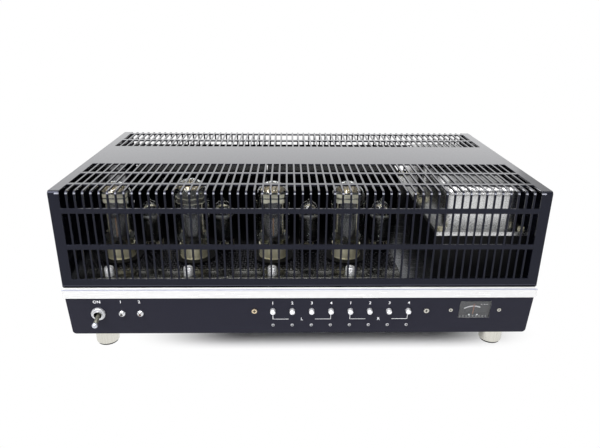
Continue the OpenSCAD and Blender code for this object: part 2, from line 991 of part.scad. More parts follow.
lamp_h = 3.6;
lamp_deep = 18;
lamp_ball = ((lamp_d / 2) ^ 2 + lamp_h ^ 2) / (2 * lamp_h);

module lamp_bezels() {
    color(chrome)
        at_lamps()
            difference() {
                union() {
                    intersection() {
                        translate([0, 0, lamp_h - lamp_ball])
                            sphere(lamp_ball);
                        block(lamp_d + eps, lamp_d + eps, lamp_h + eps);
                    }
                    translate([0, 0, -lamp_deep])
                        cylinder(d = lamp_d - 1.6, h = lamp_deep);
                }
                translate([0, 0, -2])
                    cylinder(d = lens_d + 2 * run_gap, h = lamp_h + 2 + eps);
            }
}

module lamp_lenses() {
    color("#5a2a1c")
        at_lamps() {
            translate([0, 0, -2])
                cylinder(d = lens_d, h = lamp_h + 1.6);
            translate([0, 0, lamp_h - 0.4])
                dome(lens_d / 2);
        }
}

// Meter

module meter_case() {
    case_h = case_s1 - case_s0;
    mid_s = (case_s0 + case_s1) / 2;
    color(bakelite)
        difference() {
            union() {
                on_panel(meter_x, mid_s)
                    block(case_w, case_h, case_deep - panel_t, -case_deep);
                on_panel(meter_x, meter_s)
                    block(meter_screws_w + 8, ear_h, ear_t, -panel_t - ear_t);
            }
            on_panel(meter_x, mid_s)
                block(
                    case_w - 2 * case_wall, case_h - 2 * case_wall,
                    case_deep, case_wall - case_deep
                );
            for (sx = [-1, 1])
                on_panel(meter_x + sx * meter_screws_w / 2, meter_s)
                    translate([0, 0, -panel_t - ear_t - eps])
                        cylinder(d = meter_screw_d + 2 * run_gap, h = ear_t + 2 * eps);
        }
}

// Dial plate, the movement behind it, the needle's pin and the cover over its hub
module meter_dial() {
    case_h = case_s1 - case_s0;
    mid_s = (case_s0 + case_s1) / 2;
    magnet_w = 20;
    magnet_h = 16;
    color("#3b3d40") {
        on_panel(meter_x, mid_s) {
            block(
                case_w - 2 * case_wall - 2 * run_gap, case_h - 2 * case_wall - 2 * run_gap,
                dial_t, -dial_deep
            );
            block(
                magnet_w, magnet_h,
                case_deep - case_wall - dial_deep, case_wall - case_deep
            );
        }
        on_panel(meter_x - pivot_dx, meter_s + pivot_ds) {
            translate([0, 0, -dial_deep]) {
                cylinder(d = meter_pin_d, h = dial_deep - needle_z + hub_t / 2 + pin_over);
                for (sx = [-1, 1])
                    translate([sx * post_dx, post_up, 0])
                        cylinder(d = post_d, h = dial_deep - cover_z);
            }
            translate([pivot_dx - window_w / 2, -cover_down, -cover_z - cover_t])
                cube([window_w, cover_up + cover_down, cover_t]);
        }
    }
}

module meter_needle() {
    tail_l = 3;
    blade_t = 0.4;
    color("#c9652f")
        on_panel(meter_x - pivot_dx, meter_s + pivot_ds)
            translate([0, 0, -needle_z])
                difference() {
                    union() {
                        translate([0, 0, -hub_t / 2])
                            cylinder(d = hub_d, h = hub_t);
                        translate([-needle_w / 2, -tail_l, -blade_t / 2])
                            cube([needle_w, needle_len + tail_l, blade_t]);
                    }
                    translate([0, 0, -hub_t])
                        cylinder(d = meter_pin_d + 2 * run_gap, h = 2 * hub_t);
                }
}

// Clear cover: a flange behind the panel and a raised face in its opening
module meter_window() {
    color(clear_glass)
        on_panel(meter_x, meter_s) {
            block(
                window_w + 2 * window_lip, window_h + 2 * window_lip,
                window_flange, -panel_t - window_flange
            );
            block(
                window_w - 2 * run_gap, window_h - 2 * run_gap,
                panel_t + window_proud, -panel_t
            );
        }
}

// Tube platform, sockets and fuses

module tube_platform() {
    w = platform_x1 - platform_x0;
    front = cage_front + sheet_t + platform_y0;
    d = cage_front + platform_y1 - front;
    color(steel_black)
        difference() {
            translate([platform_x0, front, deck_top])
                cube([w, d, platform_h]);
            translate([platform_x0 + wall_t, front + wall_t, deck_top - eps])
                cube([w - 2 * wall_t, d - 2 * wall_t, platform_h - wall_t + eps]);
            translate([0, 0, platform_top - wall_t - eps]) {
                at_power_tubes()
                    cylinder(d = socket_body_d + 2 * run_gap, h = wall_t + 2 * eps);
                at_driver_tubes()
                    cylinder(d = driver_body_d + 2 * run_gap, h = wall_t + 2 * eps);
                at_fuses()
                    cylinder(d = fuse_d + 2 * fit_gap, h = wall_t + 2 * eps);
            }
        }
}

module power_pins(d, len) {
    for (a = [0:45:315])
        rotate([0, 0, a])
            translate([pin_ring_d / 2, 0, -len])
                cylinder(d = d, h = len);
}

module tube_sockets() {
    color(bakelite) {
        at_power_tubes()
            translate([0, 0, socket_top])
                difference() {
                    union() {
                        translate([0, 0, -rim_t])
                            cylinder(d = socket_d, h = rim_t);
                        translate([0, 0, -rim_t - socket_deep])
                            cylinder(d = socket_body_d, h = socket_deep);
                    }
                    translate([0, 0, eps])
                        power_pins(tube_pin_d + 2 * run_gap, tube_pin_l + 2 * eps);
                    translate([0, 0, -key_l - eps])
                        cylinder(d = key_d + 2 * run_gap, h = key_l + 2 * eps);
                }
        at_driver_tubes()
            translate([0, 0, platform_top]) {
                cylinder(d = driver_socket_d, h = rim_t);
                translate([0, 0, -socket_deep])
                    cylinder(d = driver_body_d, h = socket_deep);
            }
    }
}

// Power tubes

module power_tube_bases() {
    color(nickel)
        at_power_tubes()
            translate([0, 0, socket_top]) {
                difference() {
                    cylinder(d = base_d, h = base_h);
                    translate([0, 0, base_h - seat_deep])
                        cylinder(r = neck_r + run_gap, h = seat_deep + eps);
                }
                power_pins(tube_pin_d, tube_pin_l);
                translate([0, 0, -key_l])
                    cylinder(d = key_d, h = key_l);
            }
}

// Solid of one bulb, from its neck to the top of its dome
module bulb(neck, r, h) {
    cylinder(r = neck, h = neck_h);
    translate([0, 0, neck_h])
        cylinder(r1 = neck, r2 = r, h = cone_h);
    translate([0, 0, neck_h + cone_h])
        cylinder(r = r, h = h - r - neck_h - cone_h);
    translate([0, 0, h - r])
        dome(r);
}

module power_tube_glass() {
    r = glass_d / 2;
    color(clear_glass)
        for (k = [1:4])
            translate([tube_x(k), tube_y, glass_low])
                difference() {
                    bulb(neck_r, r, tube_top(k) - glass_low);
                    bulb(neck_r - glass_t, r - glass_t, tube_top(k) - glass_low - glass_t);
                    translate([0, 0, -eps])
                        cylinder(r = neck_r - glass_t, h = 2 * eps);
                }
}

// Anode tube with its wings, the sleeve above it, rods and getter ring
module power_tube_anodes() {
    wing_w = 2 * rod_x + rod_d + 1;
    getter_r = 5;
    getter_z = upper_mica + mica_step + 7;
    color("#55575b")
        at_power_tubes() {
            translate([0, 0, lower_mica + mica_t])
                difference() {
                    union() {
                        cylinder(d = anode_d, h = anode_h);
                        block(wing_w, anode_t, anode_h);
                    }
                    translate([0, 0, -eps])
                        cylinder(d = anode_d - 2 * anode_t, h = anode_h + 2 * eps);
                }
            translate([0, 0, lower_mica + mica_t + anode_h])
                difference() {
                    cylinder(d = anode_d, h = sleeve_h);
                    translate([0, 0, -eps])
                        cylinder(d = anode_d - 4 * anode_t, h = sleeve_h + 2 * eps);
                }
            for (sx = [-1, 1])
                translate([sx * rod_x, 0, glass_low])
                    cylinder(d = rod_d, h = upper_mica + mica_step + 2 - glass_low);
            translate([0, 0, getter_z])
                rotate_extrude()
                    translate([getter_r, 0])
                        circle(d = 1.2);
            translate([getter_r, 0, upper_mica + mica_step + mica_t])
                cylinder(d = 0.9, h = getter_z - upper_mica - mica_step - mica_t);
        }
}

module power_tube_micas() {
    color("#e9e2cf")
        at_power_tubes()
            for (z = [lower_mica, upper_mica, upper_mica + mica_step])
                translate([0, 0, z])
                    difference() {
                        cylinder(r = mica_r, h = mica_t);
                        for (sx = [-1, 1])
                            translate([sx * rod_x, 0, -eps])
                                cylinder(d = rod_d + 2 * run_gap, h = mica_t + 2 * eps);
                    }
}

// Driver tubes

module driver_tube_glass() {
    r = driver_d / 2;
    wall = 1;
    tip_h = 4;
    color(clear_glass)
        at_driver_tubes()
            translate([0, 0, socket_top]) {
                difference() {
                    union() {
                        cylinder(r = r, h = driver_h - r);
                        translate([0, 0, driver_h - r])
                            dome(r);
                    }
                    translate([0, 0, -eps])
                        cylinder(r = r - wall, h = driver_h - r + eps);
                    translate([0, 0, driver_h - r])
                        dome(r - wall);
                }
                translate([0, 0, driver_h - wall / 2])
                    cylinder(r1 = 2, r2 = 0.7, h = tip_h);
            }
}

// Two triodes on a common rod between two mica plates
module driver_tube_anodes() {
    low = 9;
    h = 25;
    w = 7;
    dx = 4.2;
    plate_r = driver_d / 2 - 1 - fit_gap;
    color("#55575b")
        at_driver_tubes()
            translate([0, 0, socket_top]) {
                cylinder(d = rod_d, h = low);
                for (sx = [-1, 1])
                    translate([sx * dx, 0, 0])
                        block(w, w, h, low);
                for (z = [low - mica_t, low + h])
                    translate([0, 0, z])
                        cylinder(r = plate_r, h = mica_t);
            }
}

// Four fuse holders with chrome caps, one in front of each power tube
module tube_fuses() {
    bevel = 0.8;
    color(chrome)
        at_fuses() {
            translate([0, 0, deck_low - fuse_tail])
                cylinder(d = fuse_d, h = fuse_tail + deck_t + fuse_h - bevel);
            translate([0, 0, deck_top + fuse_h - bevel])
                cylinder(d1 = fuse_d, d2 = fuse_d - 2 * bevel, h = bevel);
            translate([0, 0, deck_top])
                cylinder(d = fuse_nut_d, h = fuse_nut_h, $fn = 6);
        }
}

// Transformers

module transformer_cores() {
    color(bakelite)
        at_cores()
            difference() {
                block(core_w, core_d, skirt_h + core_h, deck_top);
                block(
                    core_w - 2 * skirt_wall, core_d - 2 * skirt_wall,
                    skirt_h + eps, deck_top - eps
                );
                for (sx = [-1, 1])
                    translate([sx * (leg_w + window_x) / 2, 0, 0])
                        block(window_x, window_d, core_h + 2 * eps, stack_low - eps);
                at_core_bolts()
                    translate([0, 0, stack_low - eps])
                        cylinder(d = bolt_d + 2 * run_gap, h = core_h + 2 * eps);
            }
}

module transformer_bells() {
    color(bright_metal)
        at_cores()
            translate([0, 0, stack_top])
                difference() {
                    union() {
                        block(core_w, core_d, flange_t);
                        translate([0, 0, flange_t / 2])
                            soft_block(bell_w, bell_d, bell_h + flange_t / 2, bell_r);
                    }
                    block(bell_w - 2 * pot_inset, bell_d - 2 * pot_inset, pot_h + eps, -eps);
                    at_core_bolts()
                        translate([0, 0, -eps])
                            cylinder(d = bolt_d + 2 * run_gap, h = flange_t + 2 * eps);
                }
}

// Winding round the middle leg, potted into the bell above the core
module transformer_coils() {
    coil_w = leg_w + 2 * coil_t;
    coil_d = window_d - 2 * fit_gap;
    pot_gap = pot_inset + fit_gap;
    color("#8a5a33")
        at_cores()
            difference() {
                union() {
                    block(coil_w, coil_d, coil_t + core_h, stack_low - coil_t);
                    block(bell_w - 2 * pot_gap, bell_d - 2 * pot_gap, pot_h - fit_gap, stack_top);
                }
                block(
                    leg_w + 2 * fit_gap, core_d,
                    core_h + 2 * fit_gap, stack_low - fit_gap
                );
            }
}

// Long bolts from the flange through the core into the deck
module transformer_bolts() {
    head_h = 3;
    nut_h = 3;
    top = stack_top + flange_t;
    color(nickel)
        at_cores()
            at_core_bolts() {
                translate([0, 0, deck_low - nut_h])
                    cylinder(d = bolt_d, h = top - deck_low + nut_h);
                translate([0, 0, top])
                    cylinder(d = bolt_d * 1.75, h = head_h, $fn = 6);
                translate([0, 0, deck_low - nut_h])
                    cylinder(d = bolt_d * 1.75, h = nut_h, $fn = 6);
            }
}

// Rear cases and boards

// Two black potted cases behind the tubes, each on a square foot
module output_cases() {
    foot_t = 3;
    w = (output_x1 - output_x0 - output_gap) / 2;
    color(steel_black)
        for (sx = [-1, 1])
            translate([
                (output_x0 + output_x1 + sx * (w + output_gap)) / 2,
                cage_front + output_front + output_d / 2, deck_top
            ]) {
                block(w, output_d, foot_t);
                soft_block(w, output_d, output_h, output_r);
            }
}

main_x = -60;
main_y = 15;
main_low = base_top + main_z;

module at_main_spacers() {
    for (sx = [-1, 0, 1])
        for (sy = [-1, 1])
            translate([main_x + sx * (main_w / 2 - 8), main_y + sy * (main_d / 2 - 8), 0])
                children();
}

// Main board under the deck and the board behind the front controls
module circuit_boards() {
    color("#6b5a2e") {
        translate([main_x, main_y, 0])
            block(main_w, main_d, board_t, main_low);
        on_panel(group_x, (control_s0 + control_s1) / 2)
            difference() {
                block(control_w, control_s1 - control_s0, board_t, -board_front - board_t);
                for (sx = [-1, 1])
                    translate([
                        sx * row_screws / 2, (control_s0 + control_s1) / 2 - button_s,
                        -board_front - board_t - eps
                    ])
                        cylinder(d = screw_d + 2 * run_gap, h = board_t + 2 * eps);
            }
    }
}

module board_spacers() {
    color(chrome) {
        at_main_spacers()
            translate([0, 0, base_top])
                cylinder(d = spacer_d, h = main_z, $fn = 6);
        for (sx = [-1, 1])
            on_panel(group_x + sx * row_screws / 2, button_s)
                difference() {
                    translate([0, 0, -board_front])
                        cylinder(d = spacer_d, h = board_gap);
                    translate([0, 0, -board_front - eps])
                        cylinder(d = screw_d + 2 * run_gap, h = board_gap + 2 * eps);
                }
    }
}

// Relay, rectifier, capacitors and resistors on the main board
module board_parts() {
    cap_d = 13;
    cap_h = 15;
    part_pitch = 30;
    relay_w = 28;
    relay_d = 22;
    relay_h = 16;
    rectifier_w = 24;
    rectifier_h = 7;
    resistor_l = 14;
    resistor_d = 4;
    color("#39506b")
        translate([main_x, main_y, main_low + board_t]) {
            for (k = [0:5])
                translate([(k - 2.5) * part_pitch, main_d / 4, 0])
                    cylinder(d = cap_d, h = cap_h);
            for (k = [0:7])
                translate([(k - 3.5) * part_pitch, 0, 0])
                    block(resistor_l, resistor_d, resistor_d);
            translate([-main_w / 4, -main_d / 4, 0])
                block(relay_w, relay_d, relay_h);
            translate([main_w / 4, -main_d / 4, 0])
                block(rectifier_w, rectifier_w, rectifier_h);
        }
}

// Rear sockets

// Puts children on the chassis's rear face: z points out of it, y up
module on_rear(x) {
    translate([x, chassis_y, rear_h])
        rotate([90, 0, 180])
            children();
}

module input_jacks() {
    color(chrome)
        for (k = [0, 1])
            on_rear(jack_x + k * jack_pitch)
                difference() {
                    union() {
                        translate([0, 0, -jack_deep])
                            cylinder(d = jack_body_d, h = jack_deep);
                        cylinder(d = jack_nut_d, h = jack_nut_t, $fn = 6);
                        cylinder(d = jack_d, h = jack_len);
                    }
                    translate([0, 0, jack_len - jack_hole_l])
                        cylinder(d = jack_hole_d, h = jack_hole_l + eps);
                }
}

function strip_w() = strip_n * strip_pitch + strip_wall;

// Barrier strip with a screw terminal in each bay
module speaker_strip() {
    floor_t = 5;
    color(bakelite)
        on_rear(strip_x)
            difference() {
                block(strip_w(), strip_h, strip_t);
                for (k = [0:strip_n - 1])
                    translate([(k - (strip_n - 1) / 2) * strip_pitch, 0, 0]) {
                        block(strip_pitch - strip_wall, strip_h + 2 * eps, strip_t, floor_t);
                        translate([0, 0, 1])
                            cylinder(d = screw_d + 2 * run_gap, h = floor_t);
                    }
            }
}

module terminal_screws() {
    floor_t = 5;
    color(chrome)
        for (k = [0:strip_n - 1])
            on_rear(strip_x)
                translate([(k - (strip_n - 1) / 2) * strip_pitch, 0, floor_t])
                    cross_screw(screw_d, terminal_d, terminal_h, 4);
}

// Fuse holder; its cap reaches as far back as the lever reaches forward
module mains_fuse() {
    bevel = 1;
    cap_l = front_reach - chassis_y;
    color(bakelite)
        on_rear(mains_fuse_x) {
            translate([0, 0, -fuse_deep])
                cylinder(d = fuse_body_d, h = fuse_deep);
            cylinder(d = fuse_cap_d + 4, h = 2);
            cylinder(d = fuse_cap_d, h = cap_l - bevel);
            translate([0, 0, cap_l - bevel])
                cylinder(d1 = fuse_cap_d, d2 = fuse_cap_d - 2 * bevel, h = bevel);
        }
}

// Two-prong inlet with its prongs in a cavity
module mains_inlet() {
    color(bakelite)
        on_rear(inlet_x) {
            difference() {
                union() {
                    block(inlet_w, inlet_h, inlet_out);
                    block(cavity_w + 4, cavity_h + 4, inlet_deep, -inlet_deep);
                }
                block(cavity_w, cavity_h, cavity_deep + eps, inlet_out - cavity_deep);
            }
            for (sx = [-1, 1])
                translate([sx * prong_dx, 0, inlet_out - cavity_deep])
                    cylinder(d = prong_d, h = cavity_deep - 2);
        }
}

deck();
chassis();
bottom_plate();
front_panel();
feet();
foot_pads();
bonnet_front();
bonnet_top();
bonnet_rear();
bonnet_ends();
tube_platform();
tube_sockets();
power_tube_bases();
power_tube_glass();
power_tube_anodes();
power_tube_micas();
driver_tube_glass();
driver_tube_anodes();
tube_fuses();
transformer_cores();
transformer_bells();
transformer_coils();
transformer_bolts();
output_cases();
circuit_boards();
board_parts();
board_spacers();
panel_screws();
control_bodies();
toggle_body();
toggle_bush();
toggle_nut();
toggle_lever();
lamp_bezels();
lamp_lenses();
meter_case();
meter_dial();
meter_needle();
meter_window();
input_jacks();
speaker_strip();
terminal_screws();
mains_inlet();
mains_fuse();
for (k = [1:control_n]) {
    push_button(k);
    trimmer(k);
}
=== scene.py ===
import json
import math

import bmesh
import bpy
from mathutils import Matrix, Vector


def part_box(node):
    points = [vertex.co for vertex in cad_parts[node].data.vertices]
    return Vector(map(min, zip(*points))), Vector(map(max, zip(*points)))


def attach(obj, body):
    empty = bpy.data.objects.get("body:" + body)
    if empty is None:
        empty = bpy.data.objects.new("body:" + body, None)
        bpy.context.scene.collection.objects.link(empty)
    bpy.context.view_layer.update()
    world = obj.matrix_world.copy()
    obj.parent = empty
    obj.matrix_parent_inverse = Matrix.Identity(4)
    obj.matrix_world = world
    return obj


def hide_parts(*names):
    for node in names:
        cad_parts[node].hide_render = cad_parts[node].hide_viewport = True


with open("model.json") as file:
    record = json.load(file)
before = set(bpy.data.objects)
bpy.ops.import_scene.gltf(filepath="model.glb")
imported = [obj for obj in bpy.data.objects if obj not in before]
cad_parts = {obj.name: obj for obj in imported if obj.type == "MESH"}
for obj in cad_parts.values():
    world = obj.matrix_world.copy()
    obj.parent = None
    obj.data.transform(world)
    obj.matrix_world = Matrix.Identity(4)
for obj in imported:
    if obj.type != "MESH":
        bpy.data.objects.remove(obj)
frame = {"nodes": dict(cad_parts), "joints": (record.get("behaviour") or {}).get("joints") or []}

mm = 0.001
nodes = frame["nodes"]
scene = bpy.context.scene
scene.view_settings.view_transform = "Standard"
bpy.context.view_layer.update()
print("frame loaded:", len(nodes), "nodes")


# Camera, at the place that the photograph was taken from

cameraPose = {
    "lens": 32.854,  # mm
    "sensor": 36,  # mm across
    "nearest": 0.01,  # m
    "place": (-14.339, -596.673, 323.38),  # mm
    "pitch": 21.339,  # degrees down
    "yaw": -1.463,
    "roll": 0.549,
}
cameraData = bpy.data.cameras.new("camera")
cameraData.lens = cameraPose["lens"]
cameraData.sensor_width = cameraPose["sensor"]
cameraData.clip_start = cameraPose["nearest"]
camera = bpy.data.objects.new("camera", cameraData)
scene.collection.objects.link(camera)
camera.matrix_world = (
    Matrix.Translation(Vector(cameraPose["place"]) * mm)
    @ Matrix.Rotation(math.radians(cameraPose["yaw"]), 4, "Z")
    @ Matrix.Rotation(math.radians(90 - cameraPose["pitch"]), 4, "X")
    @ Matrix.Rotation(math.radians(cameraPose["roll"]), 4, "Z")
)
scene.camera = camera
print("camera placed")


# Nodes and materials

def srgb(text):
    channels = [int(text[i:i + 2], 16) / 255 for i in (1, 3, 5)]
    linear = [c / 12.92 if c <= 0.04045 else ((c + 0.055) / 1.055) ** 2.4 for c in channels]
    return (*linear, 1.0)


def addNode(tree, kind, sockets=None, **settings):
    node = tree.nodes.new(kind)
    for name, value in settings.items():
        setattr(node, name, value)
    for name, value in (sockets or {}).items():
        if isinstance(value, bpy.types.NodeSocket):
            tree.links.new(value, node.inputs[name])
        else:
            node.inputs[name].default_value = value
    return node


# Arithmetic on sockets or numbers
def compute(tree, operation, *values):
    return addNode(tree, "ShaderNodeMath", dict(enumerate(values)), operation=operation).outputs["Value"]


def computeVector(tree, operation, *values):
    node = addNode(tree, "ShaderNodeVectorMath", dict(enumerate(values)), operation=operation)
    return node.outputs["Vector"]


def separate(tree, vector):
    return addNode(tree, "ShaderNodeSeparateXYZ", {"Vector": vector}).outputs


# The way that the surface faces
def facing(tree):
    return separate(tree, addNode(tree, "ShaderNodeNewGeometry").outputs["Normal"])


# A value carried from one range to another
def remap(tree, value, start=0.0, end=1.0, low=0.0, high=1.0, kind="LINEAR"):
    ends = {"Value": value, "From Min": start, "From Max": end, "To Min": low, "To Max": high}
    return addNode(tree, "ShaderNodeMapRange", ends, interpolation_type=kind).outputs["Result"]


def blend(tree, mask, under, over):
    return addNode(tree, "ShaderNodeMix", {"Factor": mask, 6: under, 7: over}, data_type="RGBA").outputs[2]


# The shader's colour: one tone over another where the mask is 1
def cover(tree, shader, mask, under, over):
    colour = blend(tree, mask, under, srgb(over))
    tree.links.new(colour, shader.inputs["Base Color"])
    return colour


def addBump(tree, shader, height, strength, depth, **more):
    sockets = {"Height": height, "Strength": strength, "Distance": depth * mm, **more}
    raised = addNode(tree, "ShaderNodeBump", sockets)
    tree.links.new(raised.outputs["Normal"], shader.inputs["Normal"])


noiseSpan = (0.3, 0.7)  # most of a noise lies in here
finished = []


# A material with one shader, whose sockets are set, and object coordinates in mm; it is put on CAD nodes
def startMaterial(name, on=(), **sockets):
    material = bpy.data.materials.new(name)
    material.use_nodes = True
    for node in on:
        nodes[node].data.materials.clear()
        nodes[node].data.materials.append(material)
    finished.extend(on)
    tree = material.node_tree
    tree.nodes.clear()
    shader = addNode(tree, "ShaderNodeBsdfPrincipled", {k.replace("_", " "): v for k, v in sockets.items()})
    addNode(tree, "ShaderNodeOutputMaterial", {"Surface": shader.outputs["BSDF"]})
    place = addNode(tree, "ShaderNodeTexCoord").outputs["Object"]
    return material, tree, shader, computeVector(tree, "MULTIPLY", place, (1 / mm, 1 / mm, 1 / mm))


# A finish with a grain: noise of one size in mm drives the colour between two tones, the roughness between
# two values, and a bump of some strength and depth in mm; sharp edges are rounded to a radius in mm
def grainFinish(name, size, tones, rough, bump=0.0, depth=0.0, stretch=(1, 1, 1), detail=3.0, edge=0.0,
                **more):
    material, tree, shader, at = startMaterial(name, **more)
    spread = computeVector(tree, "MULTIPLY", at, stretch)
    noise = addNode(tree, "ShaderNodeTexNoise", {"Vector": spread, "Scale": 1 / size, "Detail": detail})
    level = noise.outputs["Fac"]
    tone = cover(tree, shader, level, srgb(tones[0]), tones[1])
    tree.links.new(remap(tree, level, *noiseSpan, *rough), shader.inputs["Roughness"])
    under = {}
    if edge:
        under["Normal"] = addNode(tree, "ShaderNodeBevel", {"Radius": edge * mm}, samples=4).outputs["Normal"]
    if bump:
        addBump(tree, shader, level, bump, depth, **under)
    return material, tree, shader, at, tone


# A finish that is one grain alone
def plainFinish(*values, **more):
    return grainFinish(*values, **more)[0]


# A clear finish, which noise of one size in mm dulls in places
def clearFinish(name, size, tone, dull, detail, **more):
    material, tree, shader, at = startMaterial(name, Transmission_Weight=1.0, Base_Color=srgb(tone), **more)
    noise = addNode(tree, "ShaderNodeTexNoise", {"Vector": at, "Scale": 1 / size, "Detail": detail})
    tree.links.new(remap(tree, noise.outputs["Fac"], high=dull), shader.inputs["Roughness"])
    return material


# Powder coat: an even blue-black skin with a fine orange peel, and sheet edges that the coat rounds off
bonnetCoat = {"bend": 169.3, "spot": (0.3, 0.8), "front": -126.5, "bars": 222.0, "paintedGapShadow": 76.5,
              "line": 77.3, "shine": (0.5, 0.05)}
tree, shader, at, tone = grainFinish(
    "powderCoatedSteel", 1.6, ("#090a11", "#0e0f17"), (0.10, 0.15), 0.12, 0.03, edge=0.35, IOR=1.38,
    Specular_Tint=srgb("#dfe3ff"), on=["bonnet_front", "bonnet_top", "bonnet_rear", "bonnet_ends"])[1:]

# Painted highlight: a bright spot on the bend of each front bar stands in for a lamp's glint there
spot = separate(tree, at)
fromBend = compute(tree, "ABSOLUTE", compute(tree, "SUBTRACT", spot["Z"], bonnetCoat["bend"]))
paintedGlintFalloff = remap(tree, fromBend, *bonnetCoat["spot"], 1.0, 0.0)
inFront = compute(tree, "LESS_THAN", spot["Y"], bonnetCoat["front"])
onBars = compute(tree, "LESS_THAN", compute(tree, "ABSOLUTE", spot["X"]), bonnetCoat["bars"])
paintedGlint = compute(tree, "MULTIPLY", paintedGlintFalloff, compute(tree, "MULTIPLY", inFront, onBars))
tone = cover(tree, shader, paintedGlint, tone, "#a0a2ab")

# Painted shadow and reflection: the front sheet's lowest strip is black for the shadow of the gap under it,
# under a pale line that stands in for the fold's reflection; its shine is turned down on the black strip
paintedGapShadow, paintedFoldReflection = [compute(tree, "MULTIPLY", compute(tree, "LESS_THAN", spot["Z"], bonnetCoat[edge]), inFront)
                for edge in ("paintedGapShadow", "line")]
tone = cover(tree, shader, paintedFoldReflection, tone, "#3c3d46")
cover(tree, shader, paintedGapShadow, tone, "#020204")
tree.links.new(remap(tree, paintedGapShadow, 0.0, 1.0, *bonnetCoat["shine"]), shader.inputs["Specular IOR Level"])

# Brushed and clear anodised aluminium: pale where it shows, and under the bonnet a mirror painted greyer as
# painted shade; its hair lines are 0.05 mm wide, drawn ten times coarser
deckFinish = {"coveredX": 227.0, "coveredY": 127.0, "edgeY": 130.6, "edgeZ": 73.5, "metal": (0.6, 1.0)}
tree, shader, at, tone = grainFinish(
    "anodisedAluminium", 0.5, ("#e8e8e8", "#eeeeed"), (0.22, 0.28), 0.03, 0.02, (0.012, 1, 1),
    on=["deck"])[1:]
spot = separate(tree, at)
width, depth = [compute(tree, "ABSOLUTE", spot[axis]) for axis in "XY"]
covered = compute(tree, "MULTIPLY", compute(tree, "LESS_THAN", depth, deckFinish["coveredY"]),
                  compute(tree, "LESS_THAN", width, deckFinish["coveredX"]))
# Painted shade: the deck under the bonnet is darkened to a grey
tone = cover(tree, shader, covered, tone, "#6f7174")

# Painted reflection: a cool grey line along the upper edge of the band, for what its rounded edge reflects
upperEdge = compute(tree, "GREATER_THAN", spot["Z"], deckFinish["edgeZ"])
outerEdge = compute(tree, "GREATER_THAN", depth, deckFinish["edgeY"])
cover(tree, shader, compute(tree, "MULTIPLY", upperEdge, outerEdge), tone, "#aeb1c0")

# The strip in front of the bonnet is etched, so it stays white beside the dark sheet
etched = compute(tree, "MULTIPLY", upperEdge, compute(tree, "SUBTRACT", 1.0, covered))
metal = remap(tree, covered, 0.0, 1.0, *deckFinish["metal"])
sheen = compute(tree, "MULTIPLY_ADD", etched, -deckFinish["metal"][0], metal)
tree.links.new(sheen, shader.inputs["Metallic"])

# Turned aluminium: bright, with faint upright streaks where it was wiped
plainFinish(
    "turnedAluminium", 1.6, ("#cac8be", "#e8e6de"), (0.15, 0.26), 0.06, 0.02, (1, 1, 0.06), Metallic=1.0,
    on=["feet"])

# Satin panel paint: grey with a cool cast and a faint grain
plainFinish(
    "satinPanelPaint", 1.1, ("#17171f", "#1e1e28"), (0.36, 0.48), 0.10, 0.02, IOR=1.34,
    Specular_Tint=srgb("#dfe0ff"), on=["front_panel"])

# Satin black enamel on the chassis: sprayed, slightly uneven
plainFinish(
    "satinBlackEnamel", 2.2, ("#0e0e10", "#161619"), (0.38, 0.52), 0.10, 0.03,
    on=["chassis", "bottom_plate"])

# Steel of the platform: a satin grey along its front margin, and darkened round the tubes as painted shade
paintedShadeStart, paintedShadeEnd = -109.0, -101.0
polishedSteel, tree, shader, at, tone = grainFinish(
    "polishedSteel", 3.0, ("#6c6c68", "#787874"), (0.20, 0.26), Metallic=1.0, on=["tube_platform"])
cover(tree, shader, remap(tree, separate(tree, at)["Y"], paintedShadeStart, paintedShadeEnd), tone, "#242428")

# Varnished laminations: stacked sheets 0.5 mm thick, drawn 2.4 mm thick, under matt black varnish
sheetThick = 2.4
tree, shader, at = grainFinish(
    "varnishedLaminations", 4.0, ("#040405", "#08080a"), (0.40, 0.58), IOR=1.28,
    on=["transformer_cores"])[1:4]
waves = {"Vector": at, "Scale": math.pi / (10 * sheetThick), "Distortion": 0.6, "Detail": 1.0}
sheets = addNode(tree, "ShaderNodeTexWave", waves, bands_direction="Z")
addBump(tree, shader, sheets.outputs["Fac"], strength=0.45, depth=0.15)

# Satin nickel on the transformer bells: a soft mirror, bright on its rounded edges, with painted shade on the
# faces that look upwards
paintedShadeSlope = (0.75, 1.0)  # how far upwards a face looks where the painted shade starts and where it is full
tree, shader, at, tone = grainFinish(
    "satinNickelBells", 0.9, ("#ececec", "#f8f8f8"), (0.24, 0.32), 0.04, 0.02, Metallic=1.0,
    on=["transformer_bells"])[1:]
cover(tree, shader, remap(tree, facing(tree)["Z"], *paintedShadeSlope), tone, "#8b8c8b")

# Enamelled copper wire in pitch: turns of wire 0.8 mm thick
plainFinish(
    "enamelledCopper", 0.8, ("#6b3a1c", "#a4602c"), (0.30, 0.45), 0.3, 0.2, (0.05, 0.05, 1), Metallic=0.6,
    on=["transformer_coils"])

# Crackled enamel on the rear cases: black, with a fine wrinkle that dulls it
plainFinish(
    "crackledEnamel", 1.4, ("#020203", "#050506"), (0.5, 0.65), 0.3, 0.08, IOR=1.15, on=["output_cases"])

# Nickel plate with a warm cast and broad upright streaks, which are painted reflections
nickelPlate = plainFinish(
    "nickelPlate", 5.0, ("#b9b184", "#fffbe6"), (0.16, 0.22), stretch=(1, 1, 0.04), Metallic=0.68,
    on=["power_tube_bases", "transformer_bolts"])

# Screws: nickel on the right, brass on the left end of the row
brassEnd = -20.0
tree, shader, at, tone = grainFinish(
    "platedScrews", 1.0, ("#c4c2ba", "#dddbd3"), (0.18, 0.32), Metallic=1.0, on=["panel_screws"])[1:]
cover(tree, shader, compute(tree, "LESS_THAN", separate(tree, at)["X"], brassEnd), tone, "#e2d0b2")

